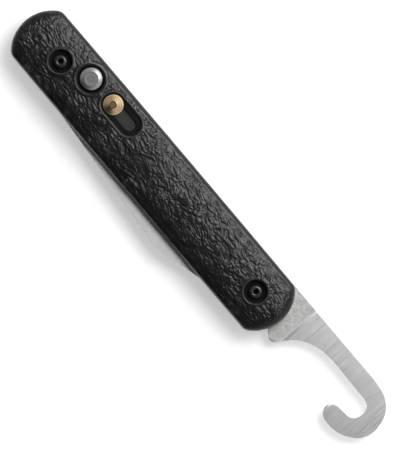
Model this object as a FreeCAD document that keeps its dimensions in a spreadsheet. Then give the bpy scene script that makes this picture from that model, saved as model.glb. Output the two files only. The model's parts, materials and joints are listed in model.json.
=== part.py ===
import FreeCAD, Part
import math
import os
import Sketcher

# Folding knife with two blades: a push-button blade at the -X end and a
# hook blade at the +X end.  X runs along the handle towards the hook, Y runs
# across it towards the closed back, Z rises out of the button side.
# The origin is the centre of the flat land of the rear scale.

os.makedirs("parts", exist_ok=True)
V = FreeCAD.Vector
doc = FreeCAD.newDocument("two_blade_knife")

# ------------------------------------------------------------------ sizes
SIZES = [
    # stack of plates along Z
    ("rear_liner_z", 4.2, "outer face of the rear liner"),
    ("hook_slot_z", 5.2, "rear liner to hook slot"),
    ("centre_liner_z", 7.6, "hook slot to centre liner"),
    ("main_slot_z", 8.4, "centre liner to main slot"),
    ("front_liner_z", 11.4, "main slot to front liner"),
    ("front_scale_z", 12.4, "front liner to front scale"),
    ("top_z", 16.6, "flat land of the front scale"),
    # outline of the scales
    ("side_x", 56.7, "where the side meets the corner"),
    ("side_y", 10.8, "half width at that point"),
    ("end_x", 59.15, "where the corner meets the end arc"),
    ("end_y", 9.88, "half width at that point"),
    ("side_bow", 9400.0, "radius of the slightly bowed side"),
    ("corner_rad", 3.5, "corner radius"),
    ("end_rad", 13.4, "radius of the end arc"),
    ("edge_round", 3.0, "rounding of the outer edge of a scale"),
    # outline of the liners, a little inside the scales
    ("lin_side_x", 56.7, "liner: side meets corner"),
    ("lin_side_y", 10.68, "liner: half width there"),
    ("lin_end_x", 59.07, "liner: corner meets end arc"),
    ("lin_end_y", 9.79, "liner: half width there"),
    ("lin_bow", 9399.88, "liner: side radius"),
    ("lin_corner", 3.38, "liner: corner radius"),
    ("lin_end_rad", 13.28, "liner: end radius"),
    # pivots
    ("main_pivot_x", -46.0, "main pivot"),
    ("hook_pivot_x", 51.0, "hook pivot"),
    ("barrel_r", 2.4, "pivot barrel"),
    ("barrel_fit", 0.02, "clearance of the barrel in the liners"),
    ("blade_fit", 0.04, "running clearance of a blade on its barrel"),
    ("thread_r", 1.25, "threaded bore of the barrel"),
    ("screw_gap", 0.05, "clearance round the screw shank"),
    ("head_r", 2.35, "screw head"),
    ("head_tall", 2.0, "screw head height"),
    ("head_chamfer", 0.45, "screw head chamfer"),
    ("socket_r", 1.1, "socket of the screw head, to its corners"),
    ("socket_deep", 1.2, "socket depth"),
    ("shank_long", 4.6, "screw shank below the head"),
    ("sink_r", 3.8, "counterbore for a screw head"),
    ("sink_deep", 3.0, "counterbore depth"),
    ("sink_round", 0.35, "rounding of the counterbore rim"),
    ("tang_r", 8.6, "tang radius"),
    # blades
    ("main_thick", 2.6, "main blade"),
    ("main_low", 8.6, "lower face of the main blade"),
    ("hook_thick", 2.0, "hook blade"),
    ("hook_low", 5.4, "lower face of the hook blade"),
    ("plunge_x", 68.3, "plunge line of the hook blade"),
    ("grind_deep", 0.22, "grind of the hook blade, each face"),
    ("washer_thick", 0.18, "washer"),
    ("washer_r", 7.0, "washer outer radius"),
    ("rim_in", 5.6, "front washer of the main blade, inner radius"),
    ("rim_out", 8.2, "front washer of the main blade, outer radius"),
    ("spacer_r", 4.2, "spacer ring on a barrel"),
    # opening spring
    ("well_r", 5.4, "spring well in the tang"),
    ("well_deep", 1.8, "depth of the spring well"),
    ("coil_r", 4.1, "opening spring, mean radius"),
    ("coil_wire", 0.38, "opening spring, wire radius"),
    ("coil_pitch", 0.78, "opening spring, pitch"),
    ("leg_x", -56.3, "anchor leg of the opening spring"),
    ("leg_y", -0.5, "anchor leg of the opening spring"),
    ("leg_hole_r", 0.85, "hole for the anchor leg"),
    ("leg_slot", 0.6, "half width of the slot for the leg"),
    # button
    ("button_x", -35.3, "button"),
    ("button_y", 3.9, "button"),
    ("button_r", 3.63, "button cap"),
    ("button_bore", 3.7, "bore for the button cap"),
    ("button_low", 14.7, "underside of the cap"),
    ("button_top", 16.5, "top of the cap"),
    ("button_rim", 1.2, "width of the cap's chamfer"),
    ("button_rim_drop", 0.28, "height of the cap's chamfer"),
    ("dish_wide", 1.4, "width of the dish round the button"),
    ("dish_deep", 1.5, "depth of the dish"),
    ("stem_r", 2.0, "plunger stem"),
    ("collar_r", 2.6, "plunger collar"),
    ("collar_low", 8.7, "plunger collar, lower face"),
    ("collar_top", 11.3, "plunger collar, upper face"),
    ("plug_r", 1.2, "plunger end inside the cap"),
    ("plug_top", 15.9, "plunger end inside the cap"),
    ("spring_r", 1.9, "button spring, mean radius"),
    ("spring_wire", 0.25, "button spring, wire radius"),
    ("spring_low", 2.4, "seat of the button spring"),
    ("spring_well", 2.4, "radius of the well of the button spring"),
    # safety
    ("knob_x", -24.35, "safety knob"),
    ("knob_r", 3.35, "safety knob"),
    ("knob_low", 15.1, "underside of the knob"),
    ("knob_brim", 16.35, "top of the knob's straight side"),
    ("knob_top", 17.1, "top of the knob"),
    ("knob_flat", 1.25, "flat on top of the knob"),
    ("neck_r", 2.0, "knob neck"),
    ("rivet_r", 1.2, "knob rivet in the slide"),
    ("slot_a", -24.4, "recess of the safety, centre of its left end"),
    ("slot_b", -16.15, "recess of the safety, centre of its right end"),
    ("slot_r", 3.8, "recess of the safety, half width"),
    ("slot_deep", 1.6, "recess of the safety, depth"),
    ("track_a", -24.35, "track of the neck, left end"),
    ("track_b", -16.1, "track of the neck, right end"),
    ("track_r", 2.1, "track of the neck, half width"),
    ("slide_thick", 0.96, "safety slide"),
    ("pocket_top", 13.4, "pocket for the safety slide"),
    # pins and spacers
    ("stop_x", -54.12, "stop pin"),
    ("stop_y", 8.95, "stop pin"),
    ("stop_r", 1.25, "stop pin"),
    ("pin_y", 8.8, "spacer pins"),
    ("pin_r", 1.0, "spacer pins"),
    ("pin_a", -26.0, "spacer pin"),
    ("pin_b", -13.0, "spacer pin"),
    ("pin_c", 16.0, "spacer pin"),
    ("pin_d", 30.0, "spacer pin"),
    ("back_y", 10.66, "outer face of the back spacers"),
    ("rest_y", 6.7, "inner face of the back spacers"),
]

sheet = doc.addObject("Spreadsheet::Sheet", "sizes")
sheet.Label = "sizes"
VAL = {}
for row, (alias, value, note) in enumerate(SIZES, start=1):
    sheet.set("A%d" % row, note)
    sheet.set("B%d" % row, repr(value))
    sheet.setAlias("B%d" % row, alias)
    VAL[alias] = float(value)
doc.recompute()


class Q:
    """A size together with the sheet expression that drives it."""

    def __init__(self, v, e):
        self.v = float(v)
        self.e = e

    def __add__(self, o):
        o = q(o)
        return Q(self.v + o.v, "(%s + %s)" % (self.e, o.e))

    __radd__ = __add__

    def __sub__(self, o):
        o = q(o)
        return Q(self.v - o.v, "(%s - %s)" % (self.e, o.e))

    def __rsub__(self, o):
        return q(o) - self

    def __neg__(self):
        return Q(-self.v, "(-1 * %s)" % self.e)

    def __mul__(self, k):
        return Q(self.v * k, "(%s * %s)" % (self.e, repr(float(k))))

    __rmul__ = __mul__


def q(x):
    return x if isinstance(x, Q) else Q(x, "%s" % repr(float(x)))


def d(alias):
    return Q(VAL[alias], "<<sizes>>.%s" % alias)


def bind(obj, prop, size):
    obj.setExpression(prop, size.e)


# ------------------------------------------------------------------ helpers
PARTS = []


def new_body(label, x=None, y=None, z=None):
    b = doc.addObject("PartDesign::Body", label)
    b.Label = label
    b.AllowCompound = True
    pos = [q(0) if k is None else q(k) for k in (x, y, z)]
    b.Placement = FreeCAD.Placement(V(pos[0].v, pos[1].v, pos[2].v), FreeCAD.Rotation())
    for axis, given, k in zip("xyz", (x, y, z), pos):
        if given is not None:
            bind(b, "Placement.Base.%s" % axis, k)
    PARTS.append(b)
    return b


def origin_plane(body, role):
    for f in body.Origin.OriginFeatures:
        if f.Role == role:
            return f
    raise RuntimeError(role)


class Sketch:
    """A sketch on one of its own body's origin planes, moved along its normal."""

    def __init__(self, body, name, z=None, role="XY_Plane", turn=0.0):
        self.s = body.newObject("Sketcher::SketchObject", name)
        self.s.AttachmentSupport = [(origin_plane(body, role), "")]
        self.s.MapMode = "FlatFace"
        z = q(0) if z is None else q(z)
        self.s.AttachmentOffset = FreeCAD.Placement(
            V(0, 0, z.v), FreeCAD.Rotation(V(0, 1, 0), turn))
        if z.e != "0.0":
            bind(self.s, "AttachmentOffset.Base.z", z)

    def add(self, geo):
        return self.s.addGeometry(geo, False)

    def con(self, *a):
        return self.s.addConstraint(Sketcher.Constraint(*a))

    def at(self, gid, pos, x, y):
        """Hold a point at x, y, bound to the sheet."""
        for kind, size, axis in (("DistanceX", q(x), -2), ("DistanceY", q(y), -1)):
            if abs(size.v) < 1e-9:
                self.con("PointOnObject", gid, pos, axis)
            elif size.v > 0:
                c = self.con(kind, -1, 1, gid, pos, size.v)
                if "<<" in size.e:
                    self.s.setExpression("Constraints[%d]" % c, size.e)
            else:
                c = self.con(kind, gid, pos, -1, 1, -size.v)
                if "<<" in size.e:
                    self.s.setExpression("Constraints[%d]" % c, (-size).e)

    def radius(self, gid, size):
        size = q(size)
        c = self.con("Radius", gid, size.v)
        if "<<" in size.e:
            self.s.setExpression("Constraints[%d]" % c, size.e)

    def circle(self, x, y, r):
        x, y, r = q(x), q(y), q(r)
        g = self.add(Part.Circle(V(x.v, y.v, 0), V(0, 0, 1), r.v))
        self.at(g, 3, x, y)
        self.radius(g, r)
        return self

    def ring(self, x, y, r_in, r_out):
        return self.circle(x, y, r_in).circle(x, y, r_out)

    def slot(self, xa, xb, y, r):
        xa, xb, y, r = q(xa), q(xb), q(y), q(r)
        ca, cb = V(xa.v, y.v, 0), V(xb.v, y.v, 0)
        n = V(0, 0, 1)
        h = math.pi / 2
        a = self.add(Part.ArcOfCircle(Part.Circle(ca, n, r.v), h, 3 * h))
        b = self.add(Part.ArcOfCircle(Part.Circle(cb, n, r.v), -h, h))
        lo = self.add(Part.LineSegment(V(xa.v, y.v - r.v, 0), V(xb.v, y.v - r.v, 0)))
        hi = self.add(Part.LineSegment(V(xb.v, y.v + r.v, 0), V(xa.v, y.v + r.v, 0)))
        self.con("Tangent", a, 2, lo, 1)
        self.con("Tangent", lo, 2, b, 1)
        self.con("Tangent", b, 2, hi, 1)
        self.con("Tangent", hi, 2, a, 1)
        self.con("Equal", a, b)
        self.at(a, 3, xa, y)
        self.at(b, 3, xb, y)
        self.radius(a, r)
        return self

    def poly(self, pts):
        pts = [(q(x), q(y)) for x, y in pts]
        n = len(pts)
        ids = []
        for i in range(n):
            p, r = pts[i], pts[(i + 1) % n]
            ids.append(self.add(Part.LineSegment(V(p[0].v, p[1].v, 0), V(r[0].v, r[1].v, 0))))
        for i in range(n):
            self.con("Coincident", ids[i], 2, ids[(i + 1) % n], 1)
        for i in range(n):
            self.at(ids[i], 1, pts[i][0], pts[i][1])
        return self

    def rect(self, x0, x1, y0, y1):
        return self.poly([(x0, y0), (x1, y0), (x1, y1), (x0, y1)])

    def outline(self, pre):
        """The outline of the handle: bowed sides, round corners, arched ends."""
        names = {"": ("side_x", "side_y", "end_x", "end_y", "side_bow", "corner_rad", "end_rad"),
                 "lin": ("lin_side_x", "lin_side_y", "lin_end_x", "lin_end_y", "lin_bow",
                         "lin_corner", "lin_end_rad")}[pre]
        sx, sy, ex, ey, rb, rc, re = [d(k) for k in names]
        pts = [(-sx, sy), (sx, sy), (ex, ey), (ex, -ey), (sx, -sy), (-sx, -sy), (-ex, -ey), (-ex, ey)]
        rad = [rb, rc, re, rc, rb, rc, re, rc]
        ids = []
        for i in range(8):
            p, r = pts[i], pts[(i + 1) % 8]
            a, b = V(p[0].v, p[1].v, 0), V(r[0].v, r[1].v, 0)
            mid = (a + b) * 0.5
            out = V(mid.x, mid.y, 0)
            half = (b - a).Length / 2.0
            nrm = V(-(b - a).y, (b - a).x, 0).normalize()
            if nrm.dot(out) < 0:
                nrm = nrm * -1.0
            sag = rad[i].v - math.sqrt(rad[i].v ** 2 - half ** 2)
            ids.append(self.add(up_arc(a, mid + nrm * sag, b)))
        ends = []
        for i in range(8):
            g = self.s.Geometry[ids[i]]
            a = V(pts[i][0].v, pts[i][1].v, 0)
            start_first = (g.StartPoint - a).Length < (g.EndPoint - a).Length
            ends.append((1, 2) if start_first else (2, 1))
        for i in range(8):
            j = (i + 1) % 8
            self.con("Coincident", ids[i], ends[i][1], ids[j], ends[j][0])
        for i in range(8):
            self.at(ids[i], ends[i][0], pts[i][0], pts[i][1])
            self.radius(ids[i], rad[i])
        return self

    def free(self, curves):
        """A closed run of curves whose ends already meet."""
        for c in curves:
            g = self.add(c)
            self.con("Block", g)
        return self

    def hexagon(self, x, y, r):
        x, y, r = q(x), q(y), q(r)
        pts = []
        for i in range(6):
            a = math.radians(60 * i)
            pts.append((x + r * math.cos(a), y + r * math.sin(a)))
        return self.poly(pts)


def tip_volume(body):
    if body.Tip is None or not hasattr(body.Tip, "Shape") or body.Tip.Shape.isNull():
        return 0.0
    return body.Tip.Shape.Volume


def feature(body, kind, name, sk, length=None, rev=False, **props):
    doc.recompute()
    before = tip_volume(body)
    f = body.newObject("PartDesign::" + kind, name)
    f.Profile = sk.s
    if length is not None:
        f.Length = q(length).v
        if "<<" in q(length).e:
            bind(f, "Length", q(length))
    f.Reversed = rev
    for k, v in props.items():
        setattr(f, k, v)
    body.Tip = f
    doc.recompute()
    after = tip_volume(body)
    grows = kind in ("Pad", "Revolution", "AdditiveHelix", "AdditivePipe", "AdditiveLoft")
    if (grows and after <= before + 1e-9) or (not grows and after >= before - 1e-9):
        raise RuntimeError("%s: %s did nothing (%.4f -> %.4f)" % (body.Label, name, before, after))
    return f


def pad(body, name, sk, length, rev=False):
    return feature(body, "Pad", name, sk, length, rev)


def pocket(body, name, sk, length, rev=False):
    return feature(body, "Pocket", name, sk, length, rev)


def edge_names(shape, test):
    return ["Edge%d" % (i + 1) for i, e in enumerate(shape.Edges) if test(e)]


def dress(body, kind, name, test, **sizes):
    base = body.Tip
    picked = edge_names(base.Shape, test)
    if not picked:
        raise RuntimeError("%s: no edge for %s" % (body.Label, name))
    f = body.newObject("PartDesign::" + kind, name)
    f.Base = (base, picked)
    for k, v in sizes.items():
        if isinstance(v, Q):
            setattr(f, k, v.v)
            bind(f, k, v)
        else:
            setattr(f, k, v)
    body.Tip = f
    doc.recompute()
    if not f.Shape.isValid() or f.Shape.isNull():
        raise RuntimeError("%s: %s failed" % (body.Label, name))
    return f


def on_z(e, z):
    return abs(e.BoundBox.ZMin - z) < 1e-5 and abs(e.BoundBox.ZMax - z) < 1e-5


def ring_at(e, x, y, r, z):
    c = e.Curve
    return (on_z(e, z) and isinstance(c, Part.Circle) and abs(c.Radius - r) < 1e-5
            and abs(c.Center.x - x) < 1e-4 and abs(c.Center.y - y) < 1e-4)


def up_arc(a, m, b):
    """Arc through three points, turned so that its normal is +Z."""
    c = Part.Arc(a, m, b).toShape().Curve
    ctr, r = c.Center, c.Radius

    def ang(p):
        return math.atan2(p.y - ctr.y, p.x - ctr.x)

    a0, am, a1 = ang(a), ang(m), ang(b)
    two = 2 * math.pi
    if (am - a0) % two > (a1 - a0) % two:
        a0, a1 = a1, a0
    return Part.ArcOfCircle(Part.Circle(ctr, V(0, 0, 1), r), a0, a0 + (a1 - a0) % two)


def spline(pts, t0=None, t1=None):
    c = Part.BSplineCurve()
    p = [V(x, y, 0) for x, y in pts]
    if t0 is None and t1 is None:
        c.interpolate(Points=p)
    else:
        c.interpolate(Points=p, InitialTangent=V(t0[0], t0[1], 0), FinalTangent=V(t1[0], t1[1], 0))
    return c


def line(a, b):
    return Part.LineSegment(V(a[0], a[1], 0), V(b[0], b[1], 0))


def arc3(a, m, b):
    return up_arc(V(a[0], a[1], 0), V(m[0], m[1], 0), V(b[0], b[1], 0))


MX, HX = VAL["main_pivot_x"], VAL["hook_pivot_x"]
BX, BY = VAL["button_x"], VAL["button_y"]

# ------------------------------------------------------------------ scales
front = new_body("front_scale")
scale_thick = d("top_z") - d("front_scale_z")
pad(front, "front_plate", Sketch(front, "front_outline", d("front_scale_z")).outline(""), scale_thick)
dress(front, "Fillet", "front_edge_round",
      lambda e: on_z(e, VAL["top_z"]), Radius=d("edge_round"))
pocket(front, "front_sinks", Sketch(front, "front_sink_rings", d("top_z"))
       .circle(d("main_pivot_x"), 0, d("sink_r")).circle(d("hook_pivot_x"), 0, d("sink_r")), d("sink_deep"))
pocket(front, "front_screw_holes", Sketch(front, "front_screw_rings", d("top_z"))
       .circle(d("main_pivot_x"), 0, d("thread_r") + d("screw_gap"))
       .circle(d("hook_pivot_x"), 0, d("thread_r") + d("screw_gap")), scale_thick + 1.0)
pocket(front, "leg_hole", Sketch(front, "leg_hole_ring", d("top_z"))
       .circle(d("leg_x"), d("leg_y"), d("leg_hole_r")), scale_thick + 1.0)
pocket(front, "button_bore", Sketch(front, "button_bore_ring", d("top_z"))
       .circle(d("button_x"), d("button_y"), d("button_bore")), scale_thick + 1.0)
dress(front, "Chamfer", "button_dish",
      lambda e: ring_at(e, BX, BY, VAL["button_bore"], VAL["top_z"]),
      ChamferType="Two distances", Size=d("dish_deep"), Size2=d("dish_wide"))
pocket(front, "safety_recess", Sketch(front, "safety_recess_line", d("top_z"))
       .slot(d("slot_a"), d("slot_b"), d("button_y"), d("slot_r")), d("slot_deep"))
pocket(front, "safety_track", Sketch(front, "safety_track_line", d("top_z"))
       .slot(d("track_a"), d("track_b"), d("button_y"), d("track_r")), scale_thick + 1.0)
# pocket for the slide and its detent, open to the inside and to the button bore
pocket(front, "slide_pocket", Sketch(front, "slide_pocket_line", d("front_scale_z"))
       .rect(-32.2, -5.0, -1.3, 7.4), d("pocket_top") - d("front_scale_z"), rev=True)
dress(front, "Fillet", "sink_rims",
      lambda e: ring_at(e, MX, 0, VAL["sink_r"], VAL["top_z"]) or
      ring_at(e, HX, 0, VAL["sink_r"], VAL["top_z"]), Radius=d("sink_round"))

rear = new_body("rear_scale")
pad(rear, "rear_plate", Sketch(rear, "rear_outline").outline(""), d("rear_liner_z"))
dress(rear, "Fillet", "rear_edge_round", lambda e: on_z(e, 0.0), Radius=d("edge_round"))
pocket(rear, "rear_sinks", Sketch(rear, "rear_sink_rings", d("sink_deep"))
       .circle(d("main_pivot_x"), 0, d("sink_r")).circle(d("hook_pivot_x"), 0, d("sink_r")), d("sink_deep") + 1.0)
pocket(rear, "rear_screw_holes", Sketch(rear, "rear_screw_rings", d("rear_liner_z"))
       .circle(d("main_pivot_x"), 0, d("thread_r") + d("screw_gap"))
       .circle(d("hook_pivot_x"), 0, d("thread_r") + d("screw_gap")), d("rear_liner_z") + 1.0)
pocket(rear, "spring_well", Sketch(rear, "spring_well_ring", d("rear_liner_z"))
       .circle(d("button_x"), d("button_y"), d("spring_well")), d("rear_liner_z") - d("spring_low"))
dress(rear, "Fillet", "rear_sink_rims",
      lambda e: ring_at(e, MX, 0, VAL["sink_r"], 0.0) or ring_at(e, HX, 0, VAL["sink_r"], 0.0),
      Radius=d("sink_round"))


# ------------------------------------------------------------------ liners
def liner(label, low, high, bores):
    b = new_body(label)
    pad(b, label + "_plate", Sketch(b, label + "_outline", low).outline("lin"), high - low)
    s = Sketch(b, label + "_bores", high)
    for x, y, r in bores:
        s.circle(x, y, r)
    pocket(b, label + "_holes", s, high - low + 1.0)
    return b


pivot_bore = d("barrel_r") + d("barrel_fit")
common = [(d("main_pivot_x"), 0, pivot_bore), (d("hook_pivot_x"), 0, pivot_bore),
          (d("stop_x"), d("stop_y"), d("stop_r"))]
common += [(d(k), d("pin_y"), d("pin_r")) for k in ("pin_a", "pin_b", "pin_c", "pin_d")]
fl = liner("front_liner", d("front_liner_z"), d("front_scale_z"),
           common + [(d("button_x"), d("button_y"), d("stem_r") + 0.06)])
pocket(fl, "leg_slot", Sketch(fl, "leg_slot_line", d("front_scale_z"))
       .slot(d("leg_x"), d("main_pivot_x") - 4.05, d("leg_y"), d("leg_slot")), 2.0)
liner("centre_liner", d("centre_liner_z"), d("main_slot_z"),
      common + [(d("button_x"), d("button_y"), d("collar_r") + 0.1)])
liner("rear_liner", d("rear_liner_z"), d("hook_slot_z"),
      common + [(d("button_x"), d("button_y"), d("spring_well"))])

# ------------------------------------------------------------------ main blade
# Lies folded, its back out of the open -Y side.  Outline as x, y.
RT = VAL["tang_r"]


def tang_pt(cx, deg, r=RT):
    return (cx + r * math.cos(math.radians(deg)), r * math.sin(math.radians(deg)))


back_slope = -4.35 / 53.2
m_back0 = (-36.2, -10.65)
m_back1 = (15.0, -10.65 + back_slope * 51.2)
m_clip0 = (24.0, -14.15)
m_tip = (50.0, -7.2)
m_choil = (-23.6, 2.0)
m_kick_a = (-30.05, 6.35)
m_kick_b = (-28.9, 6.35)
m_notch = tang_pt(MX, -45.0)
m_front = tang_pt(MX, 5.0)
main = new_body("main_blade")
main_out = Sketch(main, "main_outline", d("main_low")).free([
    line(m_back0, m_back1),
    spline([m_back1, (18.2, -15.05), (21.0, -14.85), m_clip0],
           (1.0, back_slope), (1.0, 0.267)),
    line(m_clip0, m_tip),
    spline([m_tip, (43.6, -4.25), (34.0, -2.05), (20.0, -0.35), (0.0, 1.25), m_choil],
           (-1.0, 0.52), (-1.0, 0.02)),
    spline([m_choil, (-25.2, 2.35), (-27.0, 3.75), m_kick_b], (-1.0, 0.02), (-0.55, 0.84)),
    arc3(m_kick_b, (-29.5, 6.65), m_kick_a),
    line(m_kick_a, (-31.0, 2.2)),
    arc3((-31.0, 2.2), (-31.35, 1.45), (-32.1, 1.1)),
    line((-32.1, 1.1), m_front),
    arc3(m_front, tang_pt(MX, 160.0), m_notch),
    line(m_notch, (-37.5, -6.75)),
    arc3((-37.5, -6.75), (-37.02, -6.95), (-36.9, -7.4)),
    line((-36.9, -7.4), m_back0),
])
pad(main, "main_plate", main_out, d("main_thick"))


def grind(body, name, face_z, up, sections, over):
    """Flat grind of one face: a loft of wedge sections along X.

    Each section is (x, turn, [(y, depth), ...]) with y falling.
    """
    sgn = 1.0 if up else -1.0
    sks = []
    for i, (x, turn, prof) in enumerate(sections):
        s = Sketch(body, "%s_section_%d" % (name, i), x, "YZ_Plane", turn)
        pts = [(y, face_z - sgn * dep) for y, dep in prof]
        pts += [(prof[-1][0], face_z + sgn * over), (prof[0][0], face_z + sgn * over)]
        s.poly(pts)
        sks.append(s)
    doc.recompute()
    before = tip_volume(body)
    f = body.newObject("PartDesign::SubtractiveLoft", name)
    f.Profile = sks[0].s
    f.Sections = [s.s for s in sks[1:]]
    f.Ruled = True
    body.Tip = f
    doc.recompute()
    if tip_volume(body) >= before - 1e-6 or not f.Shape.isValid():
        raise RuntimeError("%s: %s cut nothing" % (body.Label, name))
    return f


def main_section(x, y_edge, start=False):
    y_back = -10.65 + back_slope * (x + 36.2)
    d0, d1 = 0.10, 1.16
    k = (d1 - d0) / (y_edge - y_back)
    hi, lo = y_edge + 1.2, y_back - 0.8
    if start:
        return (x, 0.0, [(hi, -0.01), (lo, -0.01)])
    return (x, 0.0, [(hi, d0 + k * (hi - y_back)), (lo, d0 + k * (lo - y_back))])


main_cuts = [main_section(-24.8, 2.1, True), main_section(-24.0, 2.05), main_section(0.0, 1.25),
             main_section(20.0, -0.35), main_section(34.0, -2.05), main_section(43.6, -4.25),
             main_section(50.6, -7.4)]
mz0 = d("main_low")
mz1 = d("main_low") + d("main_thick")
grind(main, "main_grind_front", mz1, True, main_cuts, 0.5)
grind(main, "main_grind_rear", mz0, False, main_cuts, 0.5)
pocket(main, "main_pivot_hole", Sketch(main, "main_pivot_ring", mz1)
       .circle(d("main_pivot_x"), 0, d("barrel_r") + d("blade_fit")), d("main_thick") + 1.0)
pocket(main, "main_spring_well", Sketch(main, "main_well_ring", mz1)
       .circle(d("main_pivot_x"), 0, d("well_r")), d("well_deep"))
# notch that holds the moving leg of the opening spring
pocket(main, "main_spring_notch", Sketch(main, "main_notch_line", mz1)
       .rect(d("main_pivot_x") + 4.6, d("main_pivot_x") + 6.9, -0.6, 0.6), d("well_deep"))

# ------------------------------------------------------------------ hook blade
# Stands open.  Its back is level with the closed back of the handle.
flat_a = math.degrees(math.asin(8.3 / RT))
h_top0 = (63.5, 10.85)
h_top1 = (96.5, 10.88)
h_bot = (98.0, -9.82)
h_nose0 = (96.2, -9.45)
hook = new_body("hook_blade")
hook_out = Sketch(hook, "hook_outline", d("hook_low")).free([
    line(h_top0, h_top1),
    spline([h_top1, (100.4, 10.62), (103.3, 10.08), (106.0, 8.72), (108.1, 6.75), (109.6, 3.95),
            (110.33, 0.3), (109.95, -2.9), (108.55, -5.5), (106.2, -7.55), (103.4, -9.05),
            (100.6, -9.72), h_bot], (1.0, 0.0), (-1.0, 0.02)),
    spline([h_bot, (95.4, -8.95), (94.25, -7.55), (94.05, -6.2), (94.75, -4.85), (96.2, -3.85),
            (98.2, -3.48), (100.3, -3.36), (101.9, -2.92), (103.15, -1.75), (103.75, -0.2),
            (103.78, 1.2), (103.25, 2.75), (102.1, 3.85), (100.6, 4.32), (97.0, 4.42)],
           (-1.0, 0.02), (-1.0, 0.02)),
    spline([(97.0, 4.42), (90.0, 4.52), (84.5, 4.58), (80.0, 4.08), (76.0, 2.85), (73.0, 1.08),
            (70.6, -1.25), (68.9, -3.75), (67.7, -5.55)], (-1.0, 0.02), (-0.53, -0.85)),
    spline([(67.7, -5.55), (66.95, -6.32), (66.0, -6.6), (65.1, -6.32)], (-0.53, -0.85), (-0.82, 0.57)),
    line((65.1, -6.32), (60.6, -3.35)),
    line((60.6, -3.35), tang_pt(HX, -23.0)),
    arc3(tang_pt(HX, -23.0), tang_pt(HX, -48.0), tang_pt(HX, -flat_a)),
    line(tang_pt(HX, -flat_a), tang_pt(HX, -180.0 + flat_a)),
    arc3(tang_pt(HX, -180.0 + flat_a), tang_pt(HX, 180.0), tang_pt(HX, 180.0 - flat_a)),
    line(tang_pt(HX, 180.0 - flat_a), tang_pt(HX, flat_a)),
    arc3(tang_pt(HX, flat_a), tang_pt(HX, 66.0), tang_pt(HX, 58.0)),
    line(tang_pt(HX, 58.0), (57.6, 10.33)),
    line((57.6, 10.33), (63.5, 10.33)),
    line((63.5, 10.33), h_top0),
])
pad(hook, "hook_plate", hook_out, d("hook_thick"))


hz0 = d("hook_low")
hz1 = d("hook_low") + d("hook_thick")
# both faces are ground flat beyond the plunge line, which ramps down over 0.9 mm
for tag, face, sgn in (("front", hz1, 1.0), ("rear", hz0, -1.0)):
    gs = Sketch(hook, "hook_grind_%s_line" % tag, q(-14.0), "XZ_Plane")
    gs.poly([(d("plunge_x"), face + sgn * 0.02), (d("plunge_x") + 0.9, face - d("grind_deep") * sgn),
             (112.5, face - d("grind_deep") * sgn), (112.5, face + sgn * 0.6),
             (d("plunge_x"), face + sgn * 0.6)])
    feature(hook, "Pocket", "hook_grind_" + tag, gs, 60.0, False, Midplane=True)
pocket(hook, "hook_pivot_hole", Sketch(hook, "hook_pivot_ring", hz1)
       .circle(d("hook_pivot_x"), 0, d("barrel_r") + d("blade_fit")), d("hook_thick") + 1.0)


# ------------------------------------------------------------------ pivots
def tube(label, x, y, z, r_in, r_out, tall, chamfer=None):
    b = new_body(label, x, y, z)
    pad(b, label + "_wall", Sketch(b, label + "_ring").ring(0, 0, r_in, r_out), tall)
    return b


barrel_long = d("front_scale_z") - d("rear_liner_z")
tube("main_pivot_barrel", d("main_pivot_x"), q(0), d("rear_liner_z"), d("thread_r"), d("barrel_r"), barrel_long)
tube("hook_pivot_barrel", d("hook_pivot_x"), q(0), d("rear_liner_z"), d("thread_r"), d("barrel_r"), barrel_long)

fs = new_body("front_screws", z=d("top_z") - d("sink_deep"))
pad(fs, "front_heads", Sketch(fs, "front_head_rings")
    .circle(d("main_pivot_x"), 0, d("head_r")).circle(d("hook_pivot_x"), 0, d("head_r")), d("head_tall"))
pad(fs, "front_shanks", Sketch(fs, "front_shank_rings")
    .circle(d("main_pivot_x"), 0, d("thread_r")).circle(d("hook_pivot_x"), 0, d("thread_r")),
    d("shank_long"), rev=True)
dress(fs, "Chamfer", "front_head_edges",
      lambda e: on_z(e, VAL["head_tall"]), Size=d("head_chamfer"))
pocket(fs, "front_sockets", Sketch(fs, "front_socket_lines", d("head_tall"))
       .hexagon(d("main_pivot_x"), 0, d("socket_r")).hexagon(d("hook_pivot_x"), 0, d("socket_r")),
       d("socket_deep"))

rs = new_body("rear_screws", z=d("sink_deep"))
pad(rs, "rear_heads", Sketch(rs, "rear_head_rings")
    .circle(d("main_pivot_x"), 0, d("head_r")).circle(d("hook_pivot_x"), 0, d("head_r")),
    d("head_tall"), rev=True)
pad(rs, "rear_shanks", Sketch(rs, "rear_shank_rings")
    .circle(d("main_pivot_x"), 0, d("thread_r")).circle(d("hook_pivot_x"), 0, d("thread_r")),
    d("shank_long"))
dress(rs, "Chamfer", "rear_head_edges",
      lambda e: on_z(e, -VAL["head_tall"]), Size=d("head_chamfer"))
pocket(rs, "rear_sockets", Sketch(rs, "rear_socket_lines", -d("head_tall"))
       .hexagon(d("main_pivot_x"), 0, d("socket_r")).hexagon(d("hook_pivot_x"), 0, d("socket_r")),
       d("socket_deep"), rev=True)

ring_in = d("barrel_r") + 0.05
mw = new_body("main_blade_washers")
pad(mw, "main_washer_rear", Sketch(mw, "main_washer_rear_ring", d("main_slot_z") + 0.01)
    .ring(d("main_pivot_x"), 0, ring_in, d("washer_r")), d("washer_thick"))
pad(mw, "main_washer_front", Sketch(mw, "main_washer_front_ring", d("main_low") + d("main_thick") + 0.01)
    .ring(d("main_pivot_x"), 0, d("rim_in"), d("rim_out")), d("washer_thick"))

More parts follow.
